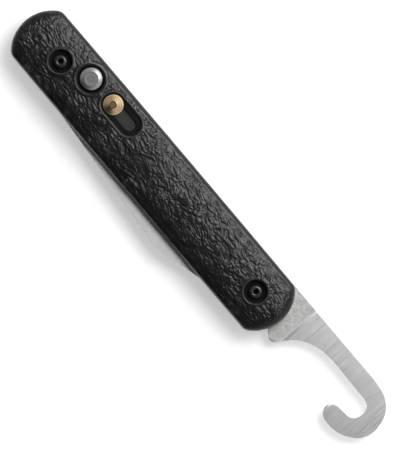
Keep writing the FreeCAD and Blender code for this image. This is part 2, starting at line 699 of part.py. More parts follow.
hw = new_body("hook_blade_washers")
pad(hw, "hook_washer_rear", Sketch(hw, "hook_washer_rear_ring", d("hook_slot_z") + 0.01)
    .ring(d("hook_pivot_x"), 0, ring_in, d("washer_r")), d("washer_thick"))
pad(hw, "hook_washer_front", Sketch(hw, "hook_washer_front_ring", d("hook_low") + d("hook_thick") + 0.01)
    .ring(d("hook_pivot_x"), 0, ring_in, d("washer_r")), d("washer_thick"))

ps = new_body("pivot_spacers")
pad(ps, "spacer_main", Sketch(ps, "spacer_main_ring", d("hook_slot_z"))
    .ring(d("main_pivot_x"), 0, ring_in, d("spacer_r")), d("centre_liner_z") - d("hook_slot_z"))
pad(ps, "spacer_hook", Sketch(ps, "spacer_hook_ring", d("main_slot_z"))
    .ring(d("hook_pivot_x"), 0, ring_in, d("spacer_r")), d("front_liner_z") - d("main_slot_z"))

# ------------------------------------------------------------------ opening spring
# Coil round the main barrel in the well of the tang; one leg lies in the slot
# of the front liner and turns up into the scale, the other sits in the tang.
coil_low = d("main_low") + d("main_thick") - d("well_deep") + 0.05 + d("coil_wire")


def turns_of(cx, cy, radius, low, pitch, turns, steps=20, start=0.0):
    """Points of a coil that climbs from low, counter-clockwise seen from above."""
    n = int(round(turns * steps))
    pts = []
    for i in range(n + 1):
        a = start + 2 * math.pi * turns * i / n
        pts.append(V(cx + radius * math.cos(a), cy + radius * math.sin(a), low + pitch * turns * i / n))
    return pts


def wire_spring(label, pts, wire_r, x=0.0, y=0.0, z=0.0):
    """Round wire along a run of short straight pieces with mitred joints."""
    path = Part.makePolygon(pts)
    ring = Part.Wire([Part.makeCircle(wire_r, pts[0], pts[1] - pts[0])])
    shell = path.makePipeShell([ring], True, False, 1)
    solid = Part.Solid(Part.Shell(shell.Faces)) if shell.ShapeType != "Solid" else shell
    if solid.Volume < 0:
        solid.reverse()
    length = sum((b - a).Length for a, b in zip(pts, pts[1:]))
    want = length * math.pi * wire_r ** 2
    if abs(solid.Volume - want) > 0.05 * want:
        raise RuntimeError("%s: volume %.3f, want %.3f" % (label, solid.Volume, want))
    o = doc.addObject("Part::Feature", label)
    o.Label = label
    o.Shape = solid
    o.Placement = FreeCAD.Placement(V(x, y, z), FreeCAD.Rotation())
    PARTS.append(o)
    return o


cr, cw = VAL["coil_r"], VAL["coil_wire"]
leg_x, leg_y = VAL["leg_x"] - MX, VAL["leg_y"]
leg_z = VAL["front_liner_z"] + 0.5
run = [V(cr + 2.4, 0, coil_low.v)]
run += turns_of(0, 0, cr, coil_low.v, VAL["coil_pitch"], 1.52)
top = run[-1]
run += [V(top.x - 0.25, leg_y, leg_z), V(leg_x, leg_y, leg_z), V(leg_x, leg_y, leg_z + 1.5)]
wire_spring("opening_spring", run, cw, x=MX)

# ------------------------------------------------------------------ button
cap = new_body("button_cap", d("button_x"), d("button_y"), d("button_low"))
cap_tall = d("button_top") - d("button_low")
pad(cap, "cap_disc", Sketch(cap, "cap_ring").circle(0, 0, d("button_r")), cap_tall)
dress(cap, "Chamfer", "cap_rim", lambda e: on_z(e, VAL["button_top"] - VAL["button_low"]),
      ChamferType="Two distances", Size=d("button_rim_drop"), Size2=d("button_rim"))
pocket(cap, "cap_bore", Sketch(cap, "cap_bore_ring").circle(0, 0, d("plug_r")),
       d("plug_top") - d("button_low"), rev=True)

plg = new_body("lock_plunger", d("button_x"), d("button_y"), d("collar_low"))
pad(plg, "collar", Sketch(plg, "collar_ring").circle(0, 0, d("collar_r")), d("collar_top") - d("collar_low"))
pad(plg, "stem", Sketch(plg, "stem_ring").circle(0, 0, d("stem_r")), d("button_low") - d("collar_low"))
pad(plg, "plug", Sketch(plg, "plug_ring").circle(0, 0, d("plug_r")), d("plug_top") - d("collar_low"))

bs_low = VAL["spring_wire"] + 0.03
bs_run = VAL["collar_low"] - VAL["spring_low"] - 2 * bs_low
wire_spring("button_spring", turns_of(0, 0, VAL["spring_r"], bs_low, bs_run / 6.5, 6.5, 16),
            VAL["spring_wire"], BX, BY, VAL["spring_low"])

# ------------------------------------------------------------------ safety
knob = new_body("safety_knob", d("knob_x"), d("button_y"), d("front_scale_z"))
ks = Sketch(knob, "knob_profile", None, "XZ_Plane")
kz = d("front_scale_z")
ks.poly([(0, 0.04), (d("rivet_r"), 0.04), (d("rivet_r"), d("pocket_top") - kz),
         (d("neck_r"), d("pocket_top") - kz), (d("neck_r"), d("knob_low") - kz),
         (d("knob_r"), d("knob_low") - kz), (d("knob_r"), d("knob_brim") - kz),
         (d("knob_flat"), d("knob_top") - kz), (0, d("knob_top") - kz)])
feature(knob, "Revolution", "knob_turned", ks, ReferenceAxis=(ks.s, ["V_Axis"]), Angle=360.0)

slide_low = d("front_scale_z") + 0.02
sl = new_body("safety_slide")
# tongue towards the button, then the plate, with a notch for the detent at each end of the travel
pad(sl, "slide_plate", Sketch(sl, "slide_line", slide_low).poly([
    (-31.45, 2.4), (-28.9, 2.4), (-28.9, 0.5), (-28.0, 1.25), (-27.1, 0.5), (-20.9, 0.5),
    (-20.0, 1.25), (-19.1, 0.5), (-13.5, 0.5), (-13.5, 7.2), (-28.9, 7.2), (-28.9, 5.4),
    (-31.45, 5.4)]), d("slide_thick"))
pocket(sl, "slide_rivet_hole", Sketch(sl, "slide_rivet_ring", slide_low + d("slide_thick"))
       .circle(d("knob_x"), d("button_y"), d("rivet_r")), d("slide_thick") + 1.0)

dt = new_body("safety_detent_spring")
pad(dt, "detent_strip", Sketch(dt, "detent_line", slide_low).poly([
    (-10.6, -1.2), (-10.6, 0.1), (-11.0, 0.1), (-11.0, -0.8), (-18.9, 0.0), (-20.0, 1.0),
    (-21.1, 0.0), (-27.5, -0.75), (-27.5, -1.15), (-21.0, -0.4), (-20.0, 0.5), (-19.0, -0.4),
    (-11.0, -1.2)]), d("slide_thick") - 0.1)

# ------------------------------------------------------------------ spacers, pins, backspring
st = new_body("stop_pin", d("stop_x"), d("stop_y"), d("rear_liner_z"))
pad(st, "stop_pin_rod", Sketch(st, "stop_pin_ring").circle(0, 0, d("stop_r")), barrel_long)

pn = new_body("spacer_pins", z=d("rear_liner_z"))
sk = Sketch(pn, "spacer_pin_rings")
for k in ("pin_a", "pin_b", "pin_c", "pin_d"):
    sk.circle(d(k), d("pin_y"), d("pin_r"))
pad(pn, "spacer_pin_rods", sk, barrel_long)

mb = new_body("main_backspacer")
pad(mb, "main_strip", Sketch(mb, "main_strip_line", d("main_slot_z")).poly([
    (-41.0, 8.9), (-32.4, 8.9), (-31.4, d("rest_y")), (60.2, d("rest_y")), (58.9, 8.9), (57.2, 10.1),
    (55.6, d("back_y")), (-41.0, d("back_y"))]), d("front_liner_z") - d("main_slot_z"))
sk = Sketch(mb, "main_strip_rings", d("front_liner_z"))
for k in ("pin_a", "pin_b", "pin_c", "pin_d"):
    sk.circle(d(k), d("pin_y"), d("pin_r"))
pocket(mb, "main_strip_holes", sk, d("front_liner_z") - d("main_slot_z") + 1.0)

rb = new_body("rear_backspacer")
pad(rb, "rear_strip", Sketch(rb, "rear_strip_line", d("hook_slot_z"))
    .rect(-32.0, -10.4, d("rest_y"), d("back_y")), d("centre_liner_z") - d("hook_slot_z"))
sk = Sketch(rb, "rear_strip_rings", d("centre_liner_z"))
for k in ("pin_a", "pin_b"):
    sk.circle(d(k), d("pin_y"), d("pin_r"))
pocket(rb, "rear_strip_holes", sk, d("centre_liner_z") - d("hook_slot_z") + 1.0)

# slip-joint spring: pinned at two places, presses on the flats of the hook's
# tang, and its thin tip lies over the shoulder of the open blade
kb = new_body("hook_backspring")
hb_low = d("hook_slot_z") + 0.15
pad(kb, "backspring_bar", Sketch(kb, "backspring_line", hb_low).poly([
    (12.6, d("rest_y")), (37.0, d("rest_y")), (44.0, 8.36), (55.2, 8.36), (57.2, 10.38), (63.4, 10.38),
    (63.4, 10.84), (12.6, 10.84)]), d("centre_liner_z") - d("hook_slot_z") - 0.3)
sk = Sketch(kb, "backspring_rings", d("centre_liner_z"))
for k in ("pin_c", "pin_d"):
    sk.circle(d(k), d("pin_y"), d("pin_r"))
pocket(kb, "backspring_holes", sk, d("centre_liner_z") - d("hook_slot_z") + 1.0)

# ------------------------------------------------------------------ check and write
doc.recompute()
bad = [o.Name for o in doc.Objects if "Invalid" in o.State or "Error" in o.State]
if bad:
    raise RuntimeError("failed objects: %s" % bad)
labels = [b.Label for b in PARTS]
if len(set(labels)) != len(labels):
    raise RuntimeError("labels repeat")
for b in PARTS:
    if b.Shape.isNull() or not b.Shape.isValid() or not b.Shape.Solids:
        raise RuntimeError("bad shape: %s" % b.Label)
for b in PARTS:
    b.Shape.exportStep(os.path.join("parts", b.Label + ".step"))
    bb = b.Shape.BoundBox
    print("%-22s solids %d vol %9.3f  x %7.2f %7.2f  y %7.2f %7.2f  z %6.2f %6.2f" % (
        b.Label, len(b.Shape.Solids), b.Shape.Volume, bb.XMin, bb.XMax, bb.YMin, bb.YMax, bb.ZMin, bb.ZMax))
print("%d parts written" % len(PARTS))
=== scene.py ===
import json
import math

import bmesh
import bpy
import numpy as np
from mathutils import Matrix, Vector
from mathutils.geometry import delaunay_2d_cdt

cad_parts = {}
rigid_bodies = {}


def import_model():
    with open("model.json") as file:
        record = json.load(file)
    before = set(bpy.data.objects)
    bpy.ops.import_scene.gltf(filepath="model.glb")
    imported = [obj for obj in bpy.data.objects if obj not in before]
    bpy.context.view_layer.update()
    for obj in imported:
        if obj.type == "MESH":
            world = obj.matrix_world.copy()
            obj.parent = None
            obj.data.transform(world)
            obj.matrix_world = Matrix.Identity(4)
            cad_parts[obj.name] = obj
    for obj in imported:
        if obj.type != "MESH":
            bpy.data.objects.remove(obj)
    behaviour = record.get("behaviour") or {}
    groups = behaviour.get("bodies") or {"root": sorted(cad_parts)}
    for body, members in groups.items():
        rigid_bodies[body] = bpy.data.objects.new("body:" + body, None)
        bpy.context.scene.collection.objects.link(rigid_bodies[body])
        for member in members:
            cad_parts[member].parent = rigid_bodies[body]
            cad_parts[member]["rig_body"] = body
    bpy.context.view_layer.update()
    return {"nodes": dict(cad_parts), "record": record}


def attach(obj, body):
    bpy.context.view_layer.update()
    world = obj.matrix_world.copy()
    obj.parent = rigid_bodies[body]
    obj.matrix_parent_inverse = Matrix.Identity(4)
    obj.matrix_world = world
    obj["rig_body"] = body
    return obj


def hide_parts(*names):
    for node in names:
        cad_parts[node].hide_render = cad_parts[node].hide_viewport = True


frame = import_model()
NODES = frame["nodes"]


MM = 0.001

# places of the hardware, in millimetres, as in the model
MAIN_X, HOOK_X = -46.0, 51.0
BUTTON = (-35.3, 3.9)
KNOB = (-24.35, 3.9)
FLOOR_Z = 0.0


# ---------------------------------------------------------------- noise
class Noise:
    """Seeded gradient noise in three dimensions, about -1 to 1."""

    def __init__(self, seed):
        rng = np.random.default_rng(seed)
        p = rng.permutation(256)
        self.p = np.concatenate([p, p, p])
        g = rng.normal(size=(256, 3))
        self.g = g / np.linalg.norm(g, axis=1)[:, None]

    def __call__(self, x, y, z):
        x, y, z = np.broadcast_arrays(np.asarray(x, float), y, z)
        xi, yi, zi = np.floor(x).astype(int), np.floor(y).astype(int), np.floor(z).astype(int)
        xf, yf, zf = x - xi, y - yi, z - zi
        u, v, w = (t * t * t * (t * (t * 6 - 15) + 10) for t in (xf, yf, zf))
        out = 0.0
        for i in (0, 1):
            for j in (0, 1):
                for k in (0, 1):
                    h = self.p[self.p[self.p[(xi + i) & 255] + ((yi + j) & 255)] + ((zi + k) & 255)]
                    g = self.g[h]
                    dot = g[..., 0] * (xf - i) + g[..., 1] * (yf - j) + g[..., 2] * (zf - k)
                    out = out + dot * (u if i else 1 - u) * (v if j else 1 - v) * (w if k else 1 - w)
        return out * 1.6


def step(x, a, b):
    t = np.clip((x - a) / (b - a), 0.0, 1.0)
    return t * t * (3 - 2 * t)


# ---------------------------------------------------------------- mesh helpers
def put(name, verts, faces, body, mat, stands_for=(), smooth=35.0, at=(0, 0, 0)):
    """A mesh piece from millimetre points, placed in the frame and tied to its body."""
    me = bpy.data.meshes.new(name)
    me.from_pydata([tuple(float(c) * MM for c in v) for v in verts], [], [tuple(int(i) for i in f) for f in faces])
    me.validate()
    return put_mesh(name, me, body, mat, stands_for, smooth, at)


def put_mesh(name, me, body, mat, stands_for=(), smooth=35.0, at=(0, 0, 0)):
    if smooth != "kept":
        me.shade_smooth()
        me.set_sharp_from_angle(angle=math.radians(smooth))
    me.materials.clear()
    me.materials.append(mat)
    o = bpy.data.objects.new(name, me)
    bpy.context.scene.collection.objects.link(o)
    o.location = Vector(at) * MM
    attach(o, body)
    if stands_for:
        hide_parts(*([stands_for] if isinstance(stands_for, str) else stands_for))
    return o


def baked(o):
    """The object's mesh with its modifiers applied."""
    dg = bpy.context.evaluated_depsgraph_get()
    dg.update()
    return bpy.data.meshes.new_from_object(o.evaluated_get(dg))


def lathe(profile, n=128, cx=0.0, cy=0.0, closed=False):
    """Points (r, z) turned about Z. Ends with r = 0 close on the axis."""
    verts, faces, rows = [], [], []
    for r, z in profile:
        if r < 1e-9:
            rows.append([len(verts)] * n)
            verts.append((cx, cy, z))
        else:
            rows.append(list(range(len(verts), len(verts) + n)))
            for k in range(n):
                a = 2 * math.pi * k / n
                verts.append((cx + r * math.cos(a), cy + r * math.sin(a), z))
    pairs = list(zip(rows, rows[1:]))
    if closed:
        pairs.append((rows[-1], rows[0]))
    for a, b in pairs:
        for k in range(n):
            j = (k + 1) % n
            f = []
            for i in (a[k], a[j], b[j], b[k]):
                if i not in f:
                    f.append(i)
            if len(f) > 2:
                faces.append(f)
    return verts, faces


def fix_normals(me):
    bm = bmesh.new()
    bm.from_mesh(me)
    bmesh.ops.recalc_face_normals(bm, faces=bm.faces[:])
    bm.to_mesh(me)
    bm.free()
    return me


def soften(node, mat, width=0.08, segments=2, limit=32.0, smooth=38.0, name=None, flat=0.25, weld=0.002):
    """The node's own shape with its hard edges broken, as real cut metal has them."""
    src = NODES[node].data
    bm = bmesh.new()
    bm.from_mesh(src)
    bmesh.ops.remove_doubles(bm, verts=bm.verts[:], dist=weld * MM)
    bmesh.ops.dissolve_limit(bm, angle_limit=math.radians(flat), verts=bm.verts[:], edges=bm.edges[:])
    clean = bpy.data.meshes.new(node + "_clean")
    bm.verts.ensure_lookup_table()
    index = {v: i for i, v in enumerate(bm.verts)}
    clean.from_pydata([v.co[:] for v in bm.verts], [], [[index[v] for v in f.verts] for f in bm.faces])
    bm.free()
    tmp = bpy.data.objects.new("tmp", clean)
    bpy.context.scene.collection.objects.link(tmp)
    mod = tmp.modifiers.new("edges", "BEVEL")
    mod.width = width * MM
    mod.segments = segments
    mod.limit_method = "ANGLE"
    mod.angle_limit = math.radians(limit)
    mod.use_clamp_overlap = False
    mod.miter_outer = "MITER_ARC"
    clean.shade_smooth()
    even_out = tmp.modifiers.new("normals", "WEIGHTED_NORMAL")
    even_out.mode = "FACE_AREA"
    even_out.weight = 100
    even_out.keep_sharp = False
    me = baked(tmp)
    bpy.data.objects.remove(tmp)
    body = NODES[node]["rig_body"]
    return put_mesh(name or node + "_finish", me, body, mat, node, "kept")


def tube(points, r, n=14, caps=True):
    """A round wire along a smooth run of points."""
    P = [Vector(p) for p in points]
    T = []
    for i in range(len(P)):
        a, b = P[max(i - 1, 0)], P[min(i + 1, len(P) - 1)]
        T.append((b - a).normalized())
    up = Vector((0, 0, 1)) if abs(T[0].z) < 0.9 else Vector((1, 0, 0))
    side = T[0].cross(up).normalized()
    verts, faces = [], []
    for i, (p, t) in enumerate(zip(P, T)):
        side = (side - t * side.dot(t)).normalized()
        other = t.cross(side)
        for k in range(n):
            a = 2 * math.pi * k / n
            verts.append(p + (side * math.cos(a) + other * math.sin(a)) * r)
    for i in range(len(P) - 1):
        for k in range(n):
            j = (k + 1) % n
            faces.append((i * n + k, i * n + j, (i + 1) * n + j, (i + 1) * n + k))
    if caps:
        faces.append(tuple(range(n))[::-1])
        faces.append(tuple(range((len(P) - 1) * n, len(P) * n)))
    return verts, faces


# ---------------------------------------------------------------- materials
class Mat:
    def __init__(self, name):
        self.m = bpy.data.materials.new(name)
        self.m.use_nodes = True
        self.t = self.m.node_tree
        self.t.nodes.clear()
        self.out = self.t.nodes.new("ShaderNodeOutputMaterial")
        self.b = self.t.nodes.new("ShaderNodeBsdfPrincipled")
        self.t.links.new(self.b.outputs[0], self.out.inputs[0])
        self.tc = self.t.nodes.new("ShaderNodeTexCoord")

    def link(self, a, b):
        self.t.links.new(a, b)

    def set(self, **k):
        for key, v in k.items():
            self.b.inputs[key.replace("_", " ")].default_value = v
        return self

    def mapped(self, scale, turn=(0, 0, 0), shift=(0, 0, 0)):
        n = self.t.nodes.new("ShaderNodeMapping")
        n.inputs["Scale"].default_value = scale
        n.inputs["Rotation"].default_value = turn
        n.inputs["Location"].default_value = shift
        self.link(self.tc.outputs["Object"], n.inputs["Vector"])
        return n.outputs[0]

    def noise(self, scale, detail=3.0, rough=0.5, warp=0.0, vec=None, size=1.0, **k):
        v = vec if vec is not None else self.mapped(scale if isinstance(scale, tuple) else (scale,) * 3, **k)
        n = self.t.nodes.new("ShaderNodeTexNoise")
        n.inputs["Scale"].default_value = size
        n.inputs["Detail"].default_value = detail
        n.inputs["Roughness"].default_value = rough
        n.inputs["Distortion"].default_value = warp
        self.link(v, n.inputs["Vector"])
        return n.outputs["Fac"]

    def cells(self, scale, feature="F1", **k):
        n = self.t.nodes.new("ShaderNodeTexVoronoi")
        n.feature = feature
        n.inputs["Scale"].default_value = 1.0
        self.link(self.mapped(scale if isinstance(scale, tuple) else (scale,) * 3, **k), n.inputs["Vector"])
        return n.outputs["Distance"]

    def ramp(self, src, stops):
        n = self.t.nodes.new("ShaderNodeValToRGB")
        e = n.color_ramp.elements
        while len(e) > 1:
            e.remove(e[-1])
        e[0].position = stops[0][0]
        e[0].color = self.rgba(stops[0][1])
        for pos, col in stops[1:]:
            s = e.new(pos)
            s.color = self.rgba(col)
        self.link(src, n.inputs[0])
        return n.outputs[0]

    @staticmethod
    def rgba(c):
        if isinstance(c, (int, float)):
            return (c, c, c, 1.0)
        return tuple(c) + (1.0,)

    def math(self, op, a, b=None, c=None, clamp=False):
        n = self.t.nodes.new("ShaderNodeMath")
        n.operation = op
        n.use_clamp = clamp
        for i, v in enumerate((a, b, c)):
            if v is None:
                continue
            if isinstance(v, (int, float)):
                n.inputs[i].default_value = v
            else:
                self.link(v, n.inputs[i])
        return n.outputs[0]

    def mix(self, fac, a, b, blend="MIX"):
        n = self.t.nodes.new("ShaderNodeMix")
        n.data_type = "RGBA"
        n.blend_type = blend
        for i, v in ((0, fac), (6, a), (7, b)):
            sock = n.inputs[i]
            if isinstance(v, (int, float)):
                sock.default_value = self.rgba(v) if i else v
            elif isinstance(v, tuple):
                sock.default_value = self.rgba(v)
            else:
                self.link(v, sock)
        return n.outputs[2]

    def span(self, src, a, b, c, d):
        n = self.t.nodes.new("ShaderNodeMapRange")
        n.clamp = True
        for i, v in zip((1, 2, 3, 4), (a, b, c, d)):
            n.inputs[i].default_value = v
        self.link(src, n.inputs[0])
        return n.outputs[0]

    def axis(self, name):
        n = self.t.nodes.new("ShaderNodeSeparateXYZ")
        self.link(self.tc.outputs["Object"], n.inputs[0])
        return n.outputs[name]

    def attr(self, name):
        n = self.t.nodes.new("ShaderNodeAttribute")
        n.attribute_name = name
        return n.outputs["Fac"]

    def bump(self, height, strength, mm, before=None):
        n = self.t.nodes.new("ShaderNodeBump")
        n.inputs["Strength"].default_value = strength
        n.inputs["Distance"].default_value = mm * MM
        self.link(height, n.inputs["Height"])
        if before is not None:
            self.link(before, n.inputs["Normal"])
        return n.outputs[0]

    def color(self, s):
        self.link(s, self.b.inputs["Base Color"])

    def rough(self, s):
        self.link(s, self.b.inputs["Roughness"])

    def normal(self, s):
        self.link(s, self.b.inputs["Normal"])


def scale_material():
    m = Mat("black_scale")
    rel = m.attr("relief")
    grime = m.noise(260.0, 4.0, 0.6)
    fine = m.noise(3800.0, 3.0, 0.6)
    speck = m.noise(9000.0, 2.0, 0.5)
    base = m.ramp(rel, [(0.0, (0.0025, 0.0025, 0.0027)), (0.45, (0.0045, 0.0045, 0.0048)),
                        (0.75, (0.011, 0.011, 0.0115)), (1.0, (0.036, 0.036, 0.037))])
    tone = m.ramp(grime, [(0.3, (0.75, 0.73, 0.72)), (0.7, (1.15, 1.15, 1.17))])
    col = m.mix(1.0, base, tone, "MULTIPLY")
    col = m.mix(m.span(speck, 0.62, 0.78, 0.0, 0.35), col, (0.07, 0.07, 0.072))
    # painted shade: the bores and wells of the scale get a near-black colour and full roughness, darkening the
    # recesses where shade falls
    hollow_shade = m.attr("cavity_shade")
    col = m.mix(hollow_shade, col, m.ramp(grime, [(0.3, (0.004, 0.004, 0.004)), (0.7, (0.008, 0.008, 0.008))]))
    # painted highlight: the rounded rims of the holes get a lighter grey base colour for the light they catch, and
    # lower roughness
    rim_highlight = m.attr("rim_highlight")
    m.color(m.mix(m.math("MULTIPLY", rim_highlight, 0.5), col, (0.055, 0.055, 0.057)))
    r = m.math("MULTIPLY_ADD", fine, 0.16, 0.25)
    r = m.math("SUBTRACT", r, m.math("MULTIPLY", rel, 0.05), clamp=True)
    r = m.math("ADD", r, m.math("MULTIPLY", m.math("SUBTRACT", grime, 0.5), 0.16), clamp=True)
    r = m.math("SUBTRACT", r, m.math("MULTIPLY", m.attr("rim"), 0.05), clamp=True)
    r = m.math("MAXIMUM", r, hollow_shade)
    m.rough(m.math("SUBTRACT", r, m.math("MULTIPLY", rim_highlight, 0.10), clamp=True))
    b1 = m.bump(m.noise(1500.0, 3.0, 0.6, warp=0.4), 0.35, 0.09)
    b2 = m.bump(fine, 0.3, 0.03, b1)
    m.normal(b2)
    m.set(Specular_IOR_Level=0.31)
    return m.m


def brushed(name, lo, hi, rough, across="Y", grind_x=None, plunge=None, dull=0.0, seed=0.0):
    """Satin ground steel with its lines across the blade, and a duller unground tang."""
    m = Mat(name)
    s = (7000.0, 110.0, 900.0) if across == "Y" else (110.0, 7000.0, 900.0)
    s2 = (1500.0, 60.0, 300.0) if across == "Y" else (60.0, 1500.0, 300.0)
    lines = m.noise(s, 3.0, 0.65, shift=(seed, seed * 2, 0))
    bands = m.noise(s2, 4.0, 0.6, shift=(seed, 0, 0))
    cloud = m.noise(180.0, 4.0, 0.6, warp=0.3)
    mixed = m.math("MULTIPLY_ADD", lines, 0.55, m.math("MULTIPLY", bands, 0.45))
    ground = m.ramp(mixed, [(0.22, lo), (0.78, hi)])
    ground = m.mix(1.0, ground, m.ramp(cloud, [(0.3, (0.94, 0.94, 0.945)), (0.7, (1.04, 1.04, 1.035))]), "MULTIPLY")
    g_rough = m.math("MULTIPLY_ADD", mixed, 0.22, rough - 0.11)
    bump = m.bump(mixed, 0.16, 0.010)
    if grind_x is not None:
        x = m.axis("X")
        y = m.axis("Y")
        edge = m.math("ADD", x, m.math("MULTIPLY", m.math("SUBTRACT", m.noise(900.0, 2.0), 0.5), 0.0002))
        raw = m.span(edge, *grind_x)
        spots = m.noise(1400.0, 5.0, 0.75, warp=0.5)
        mott = m.noise(420.0, 4.0, 0.7, warp=0.6)
        dark = m.ramp(spots, [(0.34, (0.32, 0.319, 0.317)), (0.5, (0.43, 0.429, 0.426)), (0.68, (0.54, 0.538, 0.535))])
        dark = m.mix(1.0, dark, m.ramp(mott, [(0.3, (0.78, 0.78, 0.78)), (0.7, (1.12, 1.12, 1.11))]), "MULTIPLY")
        edge_x = grind_x[1]
        glint = m.math("MULTIPLY", m.span(edge, edge_x - 0.0001, edge_x + 0.0002, 0.0, 1.0),
                       m.span(edge, edge_x + 0.0006, edge_x + 0.0011, 1.0, 0.0))
        ground = m.mix(m.math("MULTIPLY", glint, 0.6), ground, (0.90, 0.90, 0.90))
        m.color(m.mix(raw, ground, dark))
        n = m.t.nodes.new("ShaderNodeMix")
        n.data_type = "FLOAT"
        m.link(raw, n.inputs[0])
        m.link(g_rough, n.inputs[2])
        m.link(m.math("MULTIPLY_ADD", spots, 0.25, 0.38), n.inputs[3])
        m.rough(n.outputs[0])
        m.normal(m.bump(m.math("MULTIPLY", spots, raw), 0.35, 0.03, bump))
    else:
        m.color(ground)
        m.rough(g_rough)
        m.normal(bump)
    m.set(Metallic=1.0)
    return m.m


def blasted(name, lo, hi, rough, grain=5200.0, wear=0.1):
    m = Mat(name)
    fine = m.noise(grain, 3.0, 0.6)
    cloud = m.noise(300.0, 4.0, 0.65, warp=0.5)
    scr = m.noise((260.0, 5200.0, 800.0), 2.0, 0.6, turn=(0, 0, 0.35))
    col = m.ramp(cloud, [(0.3, lo), (0.7, hi)])
    col = m.mix(m.span(scr, 0.66, 0.74, 0.0, wear * 3), col, tuple(min(1.0, c * 1.35) for c in hi))
    m.color(col)
    r = m.math("MULTIPLY_ADD", fine, 0.24, rough - 0.12)
    m.rough(m.math("ADD", r, m.math("MULTIPLY", m.math("SUBTRACT", cloud, 0.5), 0.2), clamp=True))
    m.normal(m.bump(scr, 0.12, 0.01, m.bump(fine, 0.3, 0.012)))
    m.set(Metallic=1.0)
    return m.m


def turned(name, lo, hi, rough, pitch=6500.0, face=None, face_shade=1.0):
    """Lathe-turned metal: rings about the piece's own Z axis, with its flat end face optionally darkened as painted
    shade.
    """
    m = Mat(name)
    n = m.t.nodes.new("ShaderNodeVectorMath")
    n.operation = "LENGTH"
    flat = m.t.nodes.new("ShaderNodeVectorMath")
    flat.operation = "MULTIPLY"
    flat.inputs[1].default_value = (1, 1, 0)
    m.link(m.tc.outputs["Object"], flat.inputs[0])
    m.link(flat.outputs[0], n.inputs[0])
    rad = n.outputs["Value"]
    z = m.axis("Z")
    comb = m.t.nodes.new("ShaderNodeCombineXYZ")
    m.link(m.math("MULTIPLY", rad, pitch), comb.inputs[0])
    m.link(m.math("MULTIPLY", z, pitch), comb.inputs[1])
    ring = m.noise(1.0, 2.0, 0.6, vec=comb.outputs[0])
    cloud = m.noise(500.0, 4.0, 0.65, warp=0.5)
    fine = m.noise(6000.0, 2.0, 0.5)
    col = m.ramp(ring, [(0.3, lo), (0.7, hi)])
    col = m.mix(1.0, col, m.ramp(cloud, [(0.3, (0.86, 0.85, 0.84)), (0.7, (1.06, 1.06, 1.06))]), "MULTIPLY")
    # painted shade: inside the given face radius the flat end face is darkened by the face factor, standing in for the
    # dim overhead it reflects
    if face:
        col = m.mix(m.span(rad, face - 0.00008, face + 0.00004, 1.0, 0.0), col, m.mix(1.0, col, (face_shade,) * 3, "MULTIPLY"))
    m.color(col)
    m.rough(m.math("ADD", m.math("MULTIPLY_ADD", ring, 0.16, rough - 0.12), m.math("MULTIPLY", fine, 0.08)))
    m.normal(m.bump(ring, 0.22, 0.005))
    m.set(Metallic=1.0)
    return m.m


def blackened(name, dull=False):
    """Black oxide on steel, rubbed a little at its high spots."""
    m = Mat(name)
    cloud = m.noise(700.0, 4.0, 0.65, warp=0.4)
    fine = m.noise(5200.0, 3.0, 0.6)
    col = m.ramp(cloud, [(0.3, (0.028, 0.027, 0.027)), (0.6, (0.05, 0.05, 0.051)), (0.8, (0.085, 0.085, 0.088))])
    # painted shade: points marked deep (the screw sockets) are set near black and made rougher, darkening the recess
    # where shade falls
    deep = m.attr("deep")
    if dull:
        col = m.mix(0.85, col, m.ramp(cloud, [(0.3, (0.013, 0.0115, 0.0102)), (0.7, (0.024, 0.0215, 0.0195))]))
    m.color(m.mix(deep, col, (0.004, 0.004, 0.004)))
    m.rough(m.math("MAXIMUM", m.math("MULTIPLY_ADD", fine, 0.16, 0.44 if dull else 0.19), m.math("MULTIPLY", deep, 0.8)))
    m.normal(m.bump(fine, 0.25, 0.012))
    m.set(Metallic=0.35 if dull else 0.85)
    return m.m


MAT = {
    "black_scale": scale_material(),
    "liner_steel": blasted("liner_steel", (0.36, 0.36, 0.365), (0.50, 0.50, 0.505), 0.42),
    "hook_steel": brushed("blade_steel_hook", (0.50, 0.50, 0.50), (0.62, 0.62, 0.62), 0.30,
                          grind_x=(0.0679, 0.0683, 1.0, 0.0), seed=1.3),
    # painted shade: the main blade is the same steel as the hook blade, given a darker base colour (and higher
    # roughness) to hold down the light its ground faces reflect
    "main_steel_shaded": brushed("blade_steel_main", (0.31, 0.31, 0.31), (0.40, 0.40, 0.40), 0.50,
                          grind_x=(-0.0246, -0.0242, 1.0, 0.0), seed=4.1),
    "pivot_steel": turned("pivot_steel", (0.50, 0.50, 0.505), (0.64, 0.64, 0.645), 0.32),
    "black_steel": blackened("black_steel"),
    "washer_bronze": turned("washer_bronze", (0.50, 0.31, 0.15), (0.68, 0.45, 0.24), 0.34),
    "spring_steel": blasted("spring_steel", (0.34, 0.34, 0.345), (0.52, 0.52, 0.53), 0.34, grain=3000.0),
    # the flat faces of the button cap and the knob top are darkened as painted shade
    "button_steel": turned("button_steel", (0.29, 0.29, 0.29), (0.47, 0.47, 0.47), 0.33, face=0.00242, face_shade=0.52),
    "knob_brass": turned("knob_brass", (0.42, 0.285, 0.15), (0.70, 0.53, 0.335), 0.27, face=0.00126, face_shade=0.36),
    "slide_steel": blackened("slide_steel", True),
    "wire_steel": blasted("wire_steel", (0.055, 0.052, 0.050), (0.12, 0.115, 0.11), 0.36, grain=3000.0),
}

# ---------------------------------------------------------------- scales
THICK = 4.2
EDGE = 3.0
PITCH = 0.235


